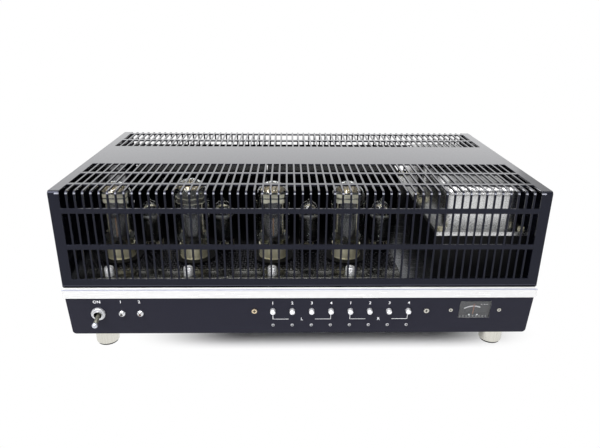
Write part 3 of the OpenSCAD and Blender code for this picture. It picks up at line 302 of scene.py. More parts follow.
# Bright chromium: a clean mirror with the faintest haze
chromePlate = plainFinish(
    "chromePlate", 2.0, ("#d6d8dc", "#e6e7ea"), (0.05, 0.13), Metallic=1.0,
    on=["tube_fuses", "toggle_bush", "toggle_nut", "lamp_bezels", "input_jacks", "terminal_screws",
        "board_spacers"] + [f"button_{k}" for k in range(1, 9)])

# Satin chromium of the buttons and fuse caps: softer, so that each takes a broad light
satinChrome = plainFinish("satinChrome", 1.2, ("#eeeff2", "#f8f8fa"), (0.22, 0.32), Metallic=0.6)

# Plating of the lever: a dull grey-green stem, with a painted highlight on its ball
ballHighlightStart = -141.6
tree, shader, at, tone = grainFinish(
    "leverPlateBallHighlight", 1.4, ("#77776c", "#8f8f84"), (0.28, 0.4), Metallic=0.7, on=["toggle_lever"])[1:]
# Painted highlight: the ball is made bright
cover(tree, shader, compute(tree, "LESS_THAN", separate(tree, at)["Y"], ballHighlightStart), tone, "#c9ccd6")

# Painted shade in the screws' recesses and the trimmers' sockets: near black
oldPolish = plainFinish("oldPolish", 0.8, ("#120e0b", "#211b15"), (0.6, 0.8), IOR=1.3)

# Turned steel of the trimmer shafts and the dress nut: bright, with fine tool marks
turnedSteel = plainFinish(
    "turnedSteel", 0.4, ("#c4c5c8", "#dcdde0"), (0.28, 0.42), 0.1, 0.02, Metallic=0.7,
    on=[f"trimmer_{k}" for k in range(1, 9)])

# Soda lime glass of the bulbs: clear and a touch grey, thin enough to see straight through
bulbGlass = clearFinish(
    "bulbGlass", 16.67, "#f2f5f5", 0.04, 1.0, IOR=1.36, on=["power_tube_glass", "driver_tube_glass"])

# Carbonised nickel plates: dark grey, matt, streaked by the rolls
carbonisedNickel = plainFinish(
    "carbonisedNickel", 1.2, ("#3a3a3d", "#59595d"), (0.34, 0.5), 0.12, 0.03, (1, 1, 0.12), Metallic=0.7,
    on=["power_tube_anodes", "driver_tube_anodes"])

# Blackened plates of the driver tubes: sooty, so that only the glass catches the light
sootedPlate = plainFinish("sootedPlate", 1.2, ("#0c0c0d", "#171719"), (0.4, 0.55), 0.1, 0.03, IOR=1.3)

# Bright nickel wire and strip of the tube supports
nickelWire = plainFinish("nickelWire", 0.6, ("#a89f8a", "#c6bea8"), (0.2, 0.34), Metallic=1.0)

# Copper strip on the seam of a plate: brown, with a dull shine
copperStrip = plainFinish(
    "dullCopperStrip", 1.5, ("#6f4d34", "#8c6a4c"), (0.3, 0.42), 0.05, 0.02, (1, 1, 0.2), Metallic=0.8)

# Natural mica: its faces are so clear that they look dark in the bulb; its cut edges are white on the upper
# ones, and on the lower ones they are left dark as painted shade
micaEdge = {"steep": 0.7, "above": 130.0}
micaSheet, tree, shader, at, tone = grainFinish(
    "naturalMica", 2.2, ("#1d1b16", "#2f2c24"), (0.25, 0.45), IOR=1.45, on=["power_tube_micas"])
cutEdge = compute(tree, "LESS_THAN", compute(tree, "ABSOLUTE", facing(tree)["Z"]), micaEdge["steep"])
upper = compute(tree, "GREATER_THAN", separate(tree, at)["Z"], micaEdge["above"])
cover(tree, shader, compute(tree, "MULTIPLY", cutEdge, upper), tone, "#ddd6c2")

# Barium getter flash: mottled brown and beige on the inside of the dome, with a dull shine
getterFilm = plainFinish(
    "getterFlash", 3.5, ("#1c1610", "#9a8a6c"), (0.25, 0.5), 0.2, 0.1, detail=5.0, Metallic=0.6)

# Moulded phenolic: black with a slight moulding gloss
plainFinish(
    "mouldedPhenolic", 1.8, ("#060607", "#0b0b0c"), (0.26, 0.40), 0.08, 0.03, IOR=1.34,
    on=["control_bodies", "toggle_body", "speaker_strip", "mains_inlet", "mains_fuse", "meter_case"])

# Matt phenolic of the tube sockets: older and duller than the other mouldings
plainFinish(
    "mattPhenolic", 1.8, ("#050506", "#090909"), (0.5, 0.65), 0.08, 0.03, IOR=1.2, on=["tube_sockets"])

# Tinted acrylic lenses: amber to the left, red to the right, unlit
amberLens = plainFinish("amberAcrylic", 1.0, ("#2c251c", "#473927"), (0.08, 0.16), IOR=1.49)
redLens = plainFinish("redAcrylic", 1.0, ("#3b1d13", "#5c3020"), (0.08, 0.16), IOR=1.49, on=["lamp_lenses"])

# Dial paint: dark grey, brushed in level lines
plainFinish(
    "mattDialPaint", 0.5, ("#3e4044", "#4e5054"), (0.5, 0.65), 0.1, 0.02, (0.05, 1, 1), IOR=1.45,
    on=["meter_dial"])

# Needle enamel: a dull orange, brushed on by hand
plainFinish("orangeNeedleEnamel", 1.0, ("#96604a", "#b07a60"), (0.35, 0.5), on=["meter_needle"])

# Clear acrylic window: colourless, with a few dull scuffs
clearFinish("clearAcrylic", 2.5, "#f4f5f6", 0.05, 4.0, IOR=1.49, on=["meter_window"])

# Varnished paper board: brown-green with darker fibres
plainFinish(
    "varnishedPaperBoard", 1.5, ("#5a4a1f", "#7b6832"), (0.35, 0.5), 0.1, 0.03, (1, 0.2, 1),
    on=["circuit_boards"])

# Sleeved and moulded parts on the board: dull blue
plainFinish("sleevedParts", 5.0, ("#26394f", "#41597a"), (0.3, 0.45), 0.08, 0.03, on=["board_parts"])

# Moulded rubber: matt, with a little bloom
plainFinish("mouldedRubber", 1.2, ("#161617", "#232324"), (0.7, 0.88), 0.15, 0.04, on=["foot_pads"])

# Screen-printed ink: off white and matt
printedInk = plainFinish("screenPrintedInk", 0.7, ("#f0f0f3", "#fdfdfe"), (0.5, 0.7))

# Nylon rings of the input jacks: one white, one red
whiteNylon = plainFinish("whiteNylon", 1.5, ("#d5d4ce", "#e6e5df"), (0.3, 0.45), IOR=1.53)
redNylon = plainFinish("redNylon", 1.5, ("#a02720", "#b8322a"), (0.3, 0.45), IOR=1.53)
print("materials made:", len(bpy.data.materials))
print("CAD nodes finished:", len(finished))


# Shapes in millimetres

seam = 0.001  # points nearer than this are one


def shift(*way):
    return Matrix.Translation(way)


def fullTurn(count):
    return [2 * math.pi * i / count for i in range(count)]


# Points on a circle round Z
def circle(radius, count, z=0.0, start=0.0):
    angles = [math.radians(start) + a for a in fullTurn(count)]
    return [(radius * math.cos(a), radius * math.sin(a), z) for a in angles]


# Points on an arc, as (radius, height) pairs
def arc(radius, start, end, steps, centre=(0, 0)):
    angles = [math.radians(start + (end - start) * i / steps) for i in range(steps + 1)]
    return [(centre[0] + radius * math.cos(a), centre[1] + radius * math.sin(a)) for a in angles]


# Faces between two rings of points, one of which may be a single point
def joinRings(bm, low, high):
    count = max(len(low), len(high))
    for i in range(count):
        j = (i + 1) % count
        corners = [low[i % len(low)], low[j % len(low)], high[j % len(high)], high[i % len(high)]]
        bm.faces.new(list(dict.fromkeys(corners)))


# A ring of points round Z at one height, each with its own reach
def addRing(bm, reaches, z, place=Matrix(), squash=1.0):
    return [bm.verts.new(place @ Vector((r * math.cos(a), r * squash * math.sin(a), z)))
            for r, a in zip(reaches, fullTurn(len(reaches)))]


# Rings round Z from (radius, height) pairs; a radius of 0 closes an end. Flutes are given as the first and
# last ring that they press into, their depth and their number
def addTurned(bm, profile, segments, place=Matrix(), flutes=(0, -1, 0.0, 0)):
    first, last, depth, number = flutes
    waves = [depth * (0.5 - 0.5 * math.cos(number * a)) for a in fullTurn(segments)]
    rings = []
    for index, (radius, height) in enumerate(profile):
        fluted = first <= index <= last
        reaches = [0.0] if radius < seam else [radius - wave * fluted for wave in waves]
        rings.append(addRing(bm, reaches, height, place))
    for low, high in zip(rings, rings[1:]):
        joinRings(bm, low, high)


# One turned shape by itself
def turned(profile, segments):
    bm = bmesh.new()
    addTurned(bm, profile, segments)
    return bm


# A turned ring with a hole through it: the profile runs back to its first point
def addHollow(bm, profile, segments, **more):
    addTurned(bm, profile + profile[:1], segments, **more)
    bmesh.ops.remove_doubles(bm, verts=bm.verts, dist=seam)


# Profile of a thin film inside a dome, from a slope in degrees up to its top
def filmProfile(outer, inner, slope, steps, height):
    under, cap = [arc(radius, slope, 90, steps, (0, height)) for radius in (inner, outer)]
    return under[::-1] + cap


def addBox(bm, size, place=Matrix(), bevel=0.0):
    made = bmesh.ops.create_cube(bm, size=1.0, matrix=place @ Matrix.Diagonal((*size, 1)))
    if bevel:
        edges = list({edge for vert in made["verts"] for edge in vert.link_edges})
        bmesh.ops.bevel(bm, geom=edges, offset=bevel, segments=2, profile=0.5, affect="EDGES")


rodEdge = (0.4, 0.2)  # shares of its radius and its length


def addRod(bm, start, end, radius, segments=12):
    start, end = Vector(start), Vector(end)
    place = Matrix.Translation(start) @ (end - start).to_track_quat("Z", "Y").to_matrix().to_4x4()
    length = (end - start).length
    edge = min(radius * rodEdge[0], length * rodEdge[1])
    half = [(0, 0), (radius - edge, 0), (radius, edge)]
    addTurned(bm, half + [(r, length - z) for r, z in half[::-1]], segments, place)


# A wire bent to a closed ring
def addWireRing(bm, points, radius, segments=8):
    points = [Vector(p) for p in points]
    rings = []
    for i, point in enumerate(points):
        onward = points[(i + 1) % len(points)] - points[i - 1]
        place = Matrix.Translation(point) @ onward.to_track_quat("Z", "Y").to_matrix().to_4x4()
        rings.append([bm.verts.new(place @ Vector(p)) for p in circle(radius, segments)])
    for low, high in zip(rings, rings[1:] + rings[:1]):
        joinRings(bm, low, high)


lettering = {"capital": 0.7, "thick": 0.04, "bold": 0.04, "curveSteps": 3, "lift": 0.02}


# Words as flat raised strokes, their middle at the place
def addPrint(bm, words, height, place):
    curve = bpy.data.curves.new("print", "FONT")
    curve.body = words
    curve.align_x = "CENTER"
    curve.align_y = "CENTER"
    curve.size = height / lettering["capital"]
    curve.extrude = lettering["thick"] / 2
    curve.offset = lettering["bold"]
    curve.resolution_u = lettering["curveSteps"]
    holder = bpy.data.objects.new("print", curve)
    mesh = bpy.data.meshes.new_from_object(holder)
    mesh.transform(place)
    bm.from_mesh(mesh)
    bpy.data.objects.remove(holder)
    bpy.data.curves.remove(curve)
    bpy.data.meshes.remove(mesh)


# Turns a shape in mm into a named piece on its body
def makePiece(name, bm, material, replaced=(), place=Matrix(), angle=38, body="amplifier"):
    bmesh.ops.recalc_face_normals(bm, faces=bm.faces)
    mesh = bpy.data.meshes.new(name)
    bm.transform(Matrix.Scale(mm, 4) @ place)
    bm.to_mesh(mesh)
    bm.free()
    for polygon in mesh.polygons:
        polygon.use_smooth = True
    mesh.set_sharp_from_angle(angle=math.radians(angle))
    mesh.materials.append(material)
    piece = bpy.data.objects.new(name, mesh)
    scene.collection.objects.link(piece)
    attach(piece, body)
    if replaced:
        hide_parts(*replaced)
    return piece


# Panel face: x along it, up its slope, and out of it; s is the distance below its top edge

inward = Vector(next(j for j in frame["joints"] if j["name"] == "button_1_press")["axis"])
panelThick = 2.5
panelLow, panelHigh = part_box("front_panel")
panelTop = Vector((0, panelLow.y / mm, panelHigh.z / mm - panelThick * inward.z))


def onPanel(x, s, out=0.0):
    right, outward = Vector((1, 0, 0)), -inward
    up = outward.cross(right)
    spot = panelTop + right * x - up * s + outward * out
    turn = Matrix((right, up, outward)).transposed().to_4x4()
    return Matrix.Translation(spot) @ turn


# Tube platform: one folded sheet with rows of holes, each row set half a step from the last, and a plain
# margin in front that the fuses pass through

platform = {
    "x": (-216.0, 97.0), "y": (-125.7, 46.0), "top": 83.5, "low": 74.3, "sheet": 1.2, "fold": 1.2,
    "bendSteps": 4, "step": 5.2, "rowStep": 0.866, "hole": 1.55, "holes": (-110.0, -45.0), "near": 0.01,
    "powerBlank": 20.0, "driverBlank": 10.0, "fuseHole": 4.9, "fuseSteps": 12, "fuseY": -117.5,
}
powerTubes = {"x": (-185.5, -109.87, -28.63, 47.0), "y": -75.0, "tops": (165.0, 167.5, 165.0, 165.0)}
driverTubes = {"x": (-157.0, -81.37, 8.87, 84.5), "y": -53.0}


# Plain strip from the first row of holes to the front edge, with a round hole for each fuse
def addMargin(bm, front, back):
    p = platform
    top, reach, steps = p["top"], 2 * p["fuseHole"], p["fuseSteps"]

    def nearest(x):
        return min(range(len(back)), key=lambda i: abs(back[i].co.x - x))

    spots = [[nearest(x + side) for side in (-reach, 0, reach)] for x in powerTubes["x"]]
    breaks = [0] + [i for spot in spots for i in spot] + [len(back) - 1]
    edge = {i: bm.verts.new((back[i].co.x, front, top)) for i in breaks}
    for a, b in zip(breaks[::3], breaks[1::3]):
        bm.faces.new([edge[a], edge[b]] + back[a:b + 1][::-1])
    for (left, middle, right), x in zip(spots, powerTubes["x"]):
        ring = [bm.verts.new((x + dx, p["fuseY"] + dy, z))
                for dx, dy, z in circle(p["fuseHole"], 2 * steps, top, 270)]
        bm.faces.new([edge[middle], edge[right]] + back[middle:right + 1][::-1] + ring[:steps + 1][::-1])
        bm.faces.new([edge[left], edge[middle], ring[0]] + ring[steps:][::-1] + back[left:middle + 1][::-1])


def makePlatform():
    p = platform
    bm = bmesh.new()
    fold, top, near = p["fold"], p["top"], p["near"]
    x0, x1 = p["x"][0] + fold, p["x"][1] - fold
    y0, y1 = p["y"][0] + fold, p["y"][1] - fold
    field = p["holes"][0]
    columns = round((x1 - x0) / p["step"])
    rows = round((y1 - field) / (p["step"] * p["rowStep"]))
    dx, dy = (x1 - x0) / columns, (y1 - field) / rows
    blanks = [(x, powerTubes["y"], p["powerBlank"]) for x in powerTubes["x"]]
    blanks += [(x, driverTubes["y"], p["driverBlank"]) for x in driverTubes["x"]]
    for row in range(rows):
        low, high = field + row * dy, field + (row + 1) * dy
        middle = (low + high) / 2
        odd = row % 2
        for i in range(columns + odd):
            left, right = x0 + (i - odd / 2) * dx, x0 + (i + 1 - odd / 2) * dx
            whole = left >= x0 - seam and right <= x1 + seam
            left, right = max(left, x0), min(right, x1)
            centre = (left + right) / 2
            across = (left, centre, right) if whole else (left, right)
            outline = [(x, low) for x in across] + [(right, middle)]
            outline += [(x, high) for x in across[::-1]] + [(left, middle)]
            corners = [bm.verts.new((*spot, top)) for spot in outline]
            clear = middle < p["holes"][1] and all(
                math.hypot(centre - bx, middle - by) > gap for bx, by, gap in blanks)
            if not whole or not clear:
                bm.faces.new(corners)
                continue
            hole = [bm.verts.new((centre + x, middle + y, z)) for x, y, z in circle(p["hole"], 8, top, 225)]
            joinRings(bm, corners, hole)
    bmesh.ops.remove_doubles(bm, verts=bm.verts, dist=near)
    addMargin(bm, y0, sorted((v for v in bm.verts if abs(v.co.y - field) < near), key=lambda v: v.co.x))

    # Which outer edges a point lies on: -1, 0 or 1 for each of X and Y
    def outerSides(co):
        return [-1 if abs(value - low) < near else 1 if abs(value - high) < near else 0
                for value, low, high in ((co.x, x0, x1), (co.y, y0, y1))]

    # The folded rim, from the outer edges down to the deck
    rim = [e for e in bm.edges if e.is_boundary and all(any(outerSides(v.co)) for v in e.verts)]
    bends = [(fold * math.sin(a), fold * (1 - math.cos(a)))
             for a in [math.pi / 2 * (k + 1) / p["bendSteps"] for k in range(p["bendSteps"])]]
    bends.append((fold, top - p["low"]))
    base = {v: v.co.copy() for e in rim for v in e.verts}
    last = {v: v for v in base}
    for reach, drop in bends:
        ring = {}
        for v, co in base.items():
            sideX, sideY = outerSides(co)
            ring[v] = bm.verts.new((co.x + sideX * reach, co.y + sideY * reach, co.z - drop))
        for e in rim:
            a, b = e.verts
            bm.faces.new([last[a], last[b], ring[b], ring[a]])
        last = ring
    sheet = makePiece("platformSheet", bm, polishedSteel, ["tube_platform"], angle=50)
    # The thickness goes inwards from the face that is seen
    thicken = sheet.modifiers.new("sheetThickness", "SOLIDIFY")
    thicken.thickness = p["sheet"] * mm
    thicken.offset = -1


makePlatform()
print("platform made")


# Power tubes: bulb, electrodes, mica, getter

powerTube = {
    "base": 85.5, "glassLow": 93.5, "neck": 13.6, "neckHigh": 7.5, "neckTurn": (0.2, 1.0), "cone": 6.0,
    "flare": ((0.25, 0.22), (0.6, 0.5), (0.88, 0.78), (1.0, 1.0)), "radius": 17.5, "wall": 1.2,
    "anodeLow": 108.3, "anodeHigh": 130.8, "anode": 8.6, "anodeThick": 0.8, "wing": (3.4, 0.8), "wingX": 9.4,
    "sleeveLow": 131.2, "sleeveHigh": 144.6, "sleeve": 8.1, "sleeveThick": 0.5,
    "rib": 0.45, "ribs": 6, "ribSharp": 6, "sheetEdge": 0.15,
    "strip": (1.5, 0.5, 19.5), "stripX": 0.6, "stripTubes": (1, 3),
    "press": [(0, 95), (5.5, 95), (6.0, 97), (4.5, 101), (3.2, 104), (0, 104.4)],
    "rodX": 9.8, "rod": 0.8, "clip": (2.0, 3.0, 1.6), "clipX": 11.6, "clipY": -1.0, "clipZ": 112.5,
    "rodEnds": (0.5, 2.0), "topClip": (2.6, 2.0, 1.2), "topClipOver": 1.6, "clipEdges": (0.25, 0.2),
    "wireLow": (3.0, 103.0), "wireHigh": (5.0, 107.6), "wires": 6, "wire": 0.35, "wireStart": 30,
    "micas": (107.5, 145.4, 150.6), "mica": 15.6, "micaHalf": 0.3, "tooth": 0.07, "points": 72,
    "oblong": (11.6, 6.0), "oblongRim": (-1.6, 2.4), "square": 5, "discTube": 2,
    "getter": 156.5, "getterRing": 5.0, "getterWire": 0.6, "getterStem": 0.4,
    "film": (0.08, 0.25), "filmSlope": 36, "filmSteps": 12, "domeSteps": 14,
    "bands": ((0.0, 1.6), (12.4, 14.1)), "bandRadii": (14.0, 14.6, 14.8), "bandEdge": 0.15,
}


def bulbProfile(top, inset):
    t = powerTube
    low, r, neck = t["glassLow"], t["radius"], t["neck"] - inset
    shoulder = low + t["neckHigh"]
    wider, under = t["neckTurn"]
    outline = [(neck, low), (neck, shoulder - under), (neck + wider, shoulder)]
    outline += [(neck + (r - t["neck"]) * out, shoulder + t["cone"] * up) for out, up in t["flare"]]
    return outline + arc(r - inset, 0, 90, t["domeSteps"], (0, top - r))


# A tube of sheet, with ribs pressed out along it
def addShell(bm, low, high, radius, thick):
    t = powerTube
    ribs = [t["rib"] * max(0.0, math.cos(t["ribs"] * a)) ** t["ribSharp"] for a in fullTurn(t["points"])]
    outside = [radius - t["rib"] + rib for rib in ribs]
    inside = [radius - t["rib"] - thick] * t["points"]
    rings = [addRing(bm, reaches, z)
             for reaches, z in ((outside, low), (outside, high), (inside, high), (inside, low))]
    for a, b in zip(rings, rings[1:] + rings[:1]):
        joinRings(bm, a, b)


# A toothed disc, or an oblong plate with a turned-down rim
def addMica(bm, z, oblong):
    t = powerTube
    if oblong:
        (wide, deep), (under, over), power = t["oblong"], t["oblongRim"], t["square"]
        reaches = [wide * (abs(math.cos(a)) ** power + abs(math.sin(a)) ** power) ** (-1 / power)
                   for a in fullTurn(t["points"])]
    else:
        wide, deep, under, over = t["mica"], t["mica"], -t["micaHalf"], t["micaHalf"]
        reaches = [wide * (1 - (t["tooth"] if (i // 2) % 2 else 0.0)) for i in range(t["points"])]
    low, high = [addRing(bm, reaches, z + lift, squash=deep / wide) for lift in (under, over)]
    bm.faces.new(low[::-1])
    bm.faces.new(high)
    joinRings(bm, low, high)


def makePowerTube(k):
    t = powerTube
    x, top = powerTubes["x"][k - 1], powerTubes["tops"][k - 1]
    at = shift(x, powerTubes["y"], 0)
    anodeMiddle = (t["anodeLow"] + t["anodeHigh"]) / 2
    topMica = t["micas"][2]
    glass = turned(bulbProfile(top, t["wall"])[::-1] + bulbProfile(top, 0.0), 64)
    makePiece(f"powerGlass_{k}", glass, bulbGlass, ["power_tube_glass"], at, 60)

    # Two pressed half shells with ribs, joined at flat wings on the rods
    anode = bmesh.new()
    addShell(anode, t["anodeLow"], t["anodeHigh"], t["anode"], t["anodeThick"])
    addShell(anode, t["sleeveLow"], t["sleeveHigh"], t["sleeve"], t["sleeveThick"])
    for side in (-1, 1):
        addBox(anode, (*t["wing"], t["anodeHigh"] - t["anodeLow"]),
               shift(side * t["wingX"], 0, anodeMiddle), t["sheetEdge"])
    makePiece(f"anode_{k}", anode, carbonisedNickel, ["power_tube_anodes"], at)

    # The seam of the first and third tubes faces forward, with a copper strip along it
    if k in t["stripTubes"]:
        strip = bmesh.new()
        addBox(strip, t["strip"], shift(t["stripX"], -t["anode"], anodeMiddle), t["sheetEdge"])
        makePiece(f"anodeStrip_{k}", strip, copperStrip, place=at)

    # The dark stem press that seals the wires
    makePiece(f"stemPress_{k}", turned(t["press"], 32), sootedPlate, place=at)

    # Rods, clips on the rods, the wires from the press, and the getter ring on its wire
    support = bmesh.new()
    above, over = t["rodEnds"]
    lowEdge, topEdge = t["clipEdges"]
    for side in (-1, 1):
        rodX = side * t["rodX"]
        addRod(support, (rodX, 0, t["glassLow"] + above), (rodX, 0, topMica + over), t["rod"])
        addBox(support, t["clip"], shift(side * t["clipX"], t["clipY"], t["clipZ"]), lowEdge)
        addBox(support, t["topClip"], shift(rodX, 0, topMica + t["topClipOver"]), topEdge)
    ends = [circle(radius, t["wires"], z, t["wireStart"]) for radius, z in (t["wireLow"], t["wireHigh"])]
    for start, end in zip(*ends):
        addRod(support, start, end, t["wire"], 8)
    addWireRing(support, circle(t["getterRing"], 32, t["getter"]), t["getterWire"])
    addRod(support, (t["getterRing"], 0, topMica), (t["getterRing"], 0, t["getter"]), t["getterStem"], 8)
    makePiece(f"tubeSupport_{k}", support, nickelWire, ["power_tube_anodes"], at)

    # A toothed mica plate below, and two oblong ones above; the second tube has discs alone
    mica = bmesh.new()
    for z in t["micas"]:
        addMica(mica, z, z > t["anodeHigh"] and k != t["discTube"])
    makePiece(f"mica_{k}", mica, micaSheet, ["power_tube_micas"], at)

    # Getter flash inside the dome
    outer, inner = [t["radius"] - t["wall"] - gap for gap in t["film"]]
    flash = turned(filmProfile(outer, inner, t["filmSlope"], t["filmSteps"], top - t["radius"]), 48)
    makePiece(f"getterFlash_{k}", flash, getterFilm, ["power_tube_glass"], at, 60)

    # Crimped bands on the metal base, over the CAD sleeve
    bands = bmesh.new()
    hidden, shown, crest = t["bandRadii"]
    for low, high in [(t["base"] + low, t["base"] + high) for low, high in t["bands"]]:
        addHollow(bands, [(hidden, low), (shown, low + t["bandEdge"]), (crest, (low + high) / 2),
                          (shown, high - t["bandEdge"]), (hidden, high)], 64)
    makePiece(f"baseBand_{k}", bands, nickelPlate, place=at)


for k in range(1, 5):
    makePowerTube(k)
print("power tubes made")


# Driver tubes: nine-pin bulb with a pip, twin plates, getter ring

driverTube = {
    "low": 85.5, "radius": 10.5, "high": 137.0, "tip": 140.5, "wall": 1.0, "slope": 78,
    "heel": ((1.2, 0.0), (0.3, 0.4), (0.0, 1.4)), "pip": ((1.9, -0.15), (1.55, 1.0), (1.1, 2.4), (0.6, 3.3)),
    "floor": 1.6, "floorEdge": 1.8, "wallLow": 2.4,
    "plateLow": 94.5, "plateHigh": 119.5, "plate": (6.4, 6.0), "apart": 4.2,
    "rib": (7.0, 6.6, 1.2), "ribs": (-8, 0, 8), "plateEdge": 0.6, "ribEdge": 0.3,
    "spacer": 9.3, "spacerEdge": (0.3, 0.2), "spacerThick": 0.8, "spacerFlutes": (1, 4, 0.7, 12),
    "pins": 9, "pinPlaces": 10, "pinStart": 20, "pinLow": (5.9, 1.7), "pinHigh": 5.4, "pin": 0.4,
    "getter": 127.5, "getterRing": 3.4, "getterWire": 0.5, "getterStem": 0.3,
    "film": (0.06, 0.2), "filmSlope": 80, "filmSteps": 5, "domeSteps": (10, 12),
}


def makeDriverTube(k):
    t = driverTube
    at = shift(driverTubes["x"][k - 1], driverTubes["y"], 0)
    low, r, dome = t["low"], t["radius"], t["high"] - t["radius"]
    inside, thick, (outerSteps, innerSteps) = r - t["wall"], t["spacerThick"], t["domeSteps"]
    glass = bmesh.new()
    outer = [(r - inset, low + up) for inset, up in t["heel"]] + arc(r, 0, t["slope"], outerSteps, (0, dome))
    outer += [(reach, t["high"] + up) for reach, up in t["pip"]]
    addTurned(glass, [(0, low)] + outer + [(0, t["tip"])], 48)
    inner = [(0, low + t["floor"]), (r - t["floorEdge"], low + t["floor"]), (inside, low + t["wallLow"])]
    addTurned(glass, inner + arc(inside, 0, 90, innerSteps, (0, dome)), 48)
    makePiece(f"driverGlass_{k}", glass, bulbGlass, ["driver_tube_glass"], at, 60)

    plates = bmesh.new()
    for side in (-1, 1):
        middle = shift(side * t["apart"], 0, (t["plateLow"] + t["plateHigh"]) / 2)
        addBox(plates, (*t["plate"], t["plateHigh"] - t["plateLow"]), middle, t["plateEdge"])
        for height in t["ribs"]:
            addBox(plates, t["rib"], middle @ shift(0, 0, height), t["ribEdge"])
    makePiece(f"driverAnode_{k}", plates, sootedPlate, ["driver_tube_anodes"], at)

    spacers = bmesh.new()
    inset, up = t["spacerEdge"]
    half = [(0, 0), (t["spacer"] - inset, 0), (t["spacer"], up)]
    for z in (t["plateLow"] - thick, t["plateHigh"]):
        outline = [(reach, z + h) for reach, h in half] + [(reach, z + thick - h) for reach, h in half[::-1]]
        addTurned(spacers, outline, 48, flutes=t["spacerFlutes"])
    makePiece(f"driverMica_{k}", spacers, micaSheet, ["driver_tube_anodes"], at)

    wires = bmesh.new()
    reach, up = t["pinLow"]
    starts = circle(reach, t["pinPlaces"], low + up, t["pinStart"])
    ends = circle(t["pinHigh"], t["pinPlaces"], t["plateLow"] - thick, t["pinStart"])
    for start, end in list(zip(starts, ends))[:t["pins"]]:
        addRod(wires, start, end, t["pin"], 8)
    ring = t["getterRing"]
    addWireRing(wires, circle(ring, 28, t["getter"]), t["getterWire"])
    addRod(wires, (ring, 0, t["plateHigh"] + thick), (ring, 0, t["getter"]), t["getterStem"], 8)
    makePiece(f"driverWire_{k}", wires, nickelWire, ["driver_tube_anodes"], at)

    outer, inner = [inside - gap for gap in t["film"]]
    flash = turned(filmProfile(outer, inner, t["filmSlope"], t["filmSteps"], dome), 40)
    makePiece(f"driverFlash_{k}", flash, sootedPlate, ["driver_tube_glass"], at, 60)


for k in range(1, 5):
    makeDriverTube(k)
print("driver tubes made")


# Fuse holders: chrome caps with fine grips and a small dip on top, on a hexagon nut

fuseCap = {
    "y": -117.5, "deck": 74.3, "low": 65.8, "top": 91.8, "radius": 4.5, "neck": 4.3, "neckTops": (3.0, 3.6),
    "gripLow": 4.0, "grips": (4, 5, 0.18, 24), "crown": ((0.0, 1.0), (0.3, 0.4), (0.8, 0.0)),
    "dip": ((1.6, 0.0), (1.4, 0.3), (0.0, 0.3)),
    "nut": 6.0, "nutHigh": 2.4, "nutEdge": ((0.7, 0.0), (0.0, 0.3), (0.0, 2.0), (0.6, 2.4)),
}


def makeFuse(k):
    f = fuseCap
    at = shift(powerTubes["x"][k - 1], f["y"], 0)
    r, neck, deck, top = f["radius"], f["neck"], f["deck"], f["top"]
    bm = bmesh.new()
    cap = [(0, f["low"]), (neck, f["low"])] + [(neck, deck + up) for up in f["neckTops"]]
    cap += [(r, deck + f["gripLow"])] + [(r - inset, top - under) for inset, under in f["crown"]]
    addTurned(bm, cap + [(reach, top - under) for reach, under in f["dip"]], 96, flutes=f["grips"])
    hexagon = [(f["nut"] - inset, deck + up) for inset, up in f["nutEdge"]]
    addTurned(bm, [(0, deck)] + hexagon + [(0, deck + f["nutHigh"])], 6)
    makePiece(f"fuseCap_{k}", bm, satinChrome, ["tube_fuses"], at)


for k in range(1, 5):
    makeFuse(k)
print("fuse holders made")


# Push buttons: rounded chrome caps on their stems, each on its own body

buttons = {"middle": 38.2, "step": 18.94, "s": 15.2, "radius": 2.6, "out": 4.2, "collar": 3.3,
           "collarZ": (-4.2, -3.2), "backEdge": 0.2, "round": 1.1, "roundArc": (15, 75, 4),
           "crown": (1.3, 0.02)}


def controlX(k):
    return buttons["middle"] + (k - 4.5) * buttons["step"]


def makeButton(k):
    b = buttons
    face = onPanel(controlX(k), b["s"])
    toFace = face.inverted()
    back = min((toFace @ Vector((0, v.co.y / mm, v.co.z / mm))).z for v in nodes[f"button_{k}"].data.vertices)
    r, edge, bend, middle = b["radius"], b["backEdge"], b["round"], b["out"] - b["round"]
    low, high = b["collarZ"]
    outline = [(0, back), (r - edge, back), (r, back + edge), (r, low), (b["collar"], low),
               (b["collar"], high), (r, high), (r, middle)]
    outline += arc(bend, *b["roundArc"], (r - bend, middle))
    inset, under = b["crown"]
    cap = turned(outline + [(r - inset, b["out"] - under), (0, b["out"])], 40)
    makePiece(f"buttonCap_{k}", cap, satinChrome, [f"button_{k}"], face, body=f"push_{k}")


for k in range(1, 9):
    makeButton(k)
print("buttons made")


# Trimmers: shafts with a turned rim round a socket and a slot across it, both darkened with painted shade

trimmers = {"s": 33.0, "radius": 1.5, "out": 0.5, "socket": 0.8, "deep": 0.35, "back": -11.9, "backEdge": 0.2,
            "edge": 0.25, "floor": 0.1, "gap": 0.02, "slot": (2.1, 0.4, 0.2),
            "slotUnder": 0.08, "slotEdge": 0.05}


def makeTrimmer(k):
    t = trimmers
    face = onPanel(controlX(k), t["s"])
    r, out, low, back = t["radius"], t["out"], t["out"] - t["deep"], t["back"]
    shaft = turned([(0, back), (r - t["backEdge"], back), (r, back + t["backEdge"]), (r, out - t["edge"]),
                    (r - t["edge"], out), (t["socket"], out), (t["socket"], low), (0, low)], 32)
    makePiece(f"trimmerShaft_{k}", shaft, turnedSteel, [f"trimmer_{k}"], face,
              body=f"trim_{k}")
    under, over, reach = low - t["floor"], low + t["floor"], t["socket"] - t["gap"]
    slot = turned([(0, under), (reach, under), (reach, over), (0, over)], 24)
    addBox(slot, t["slot"], shift(0, 0, out - t["slotUnder"]), t["slotEdge"])
    # The socket and slot are darkened with painted shade
    makePiece(f"trimmerSlot_{k}", slot, oldPolish, place=face, body=f"trim_{k}")


for k in range(1, 9):
    makeTrimmer(k)

# Crosses in the panel screws, darkened with painted shade

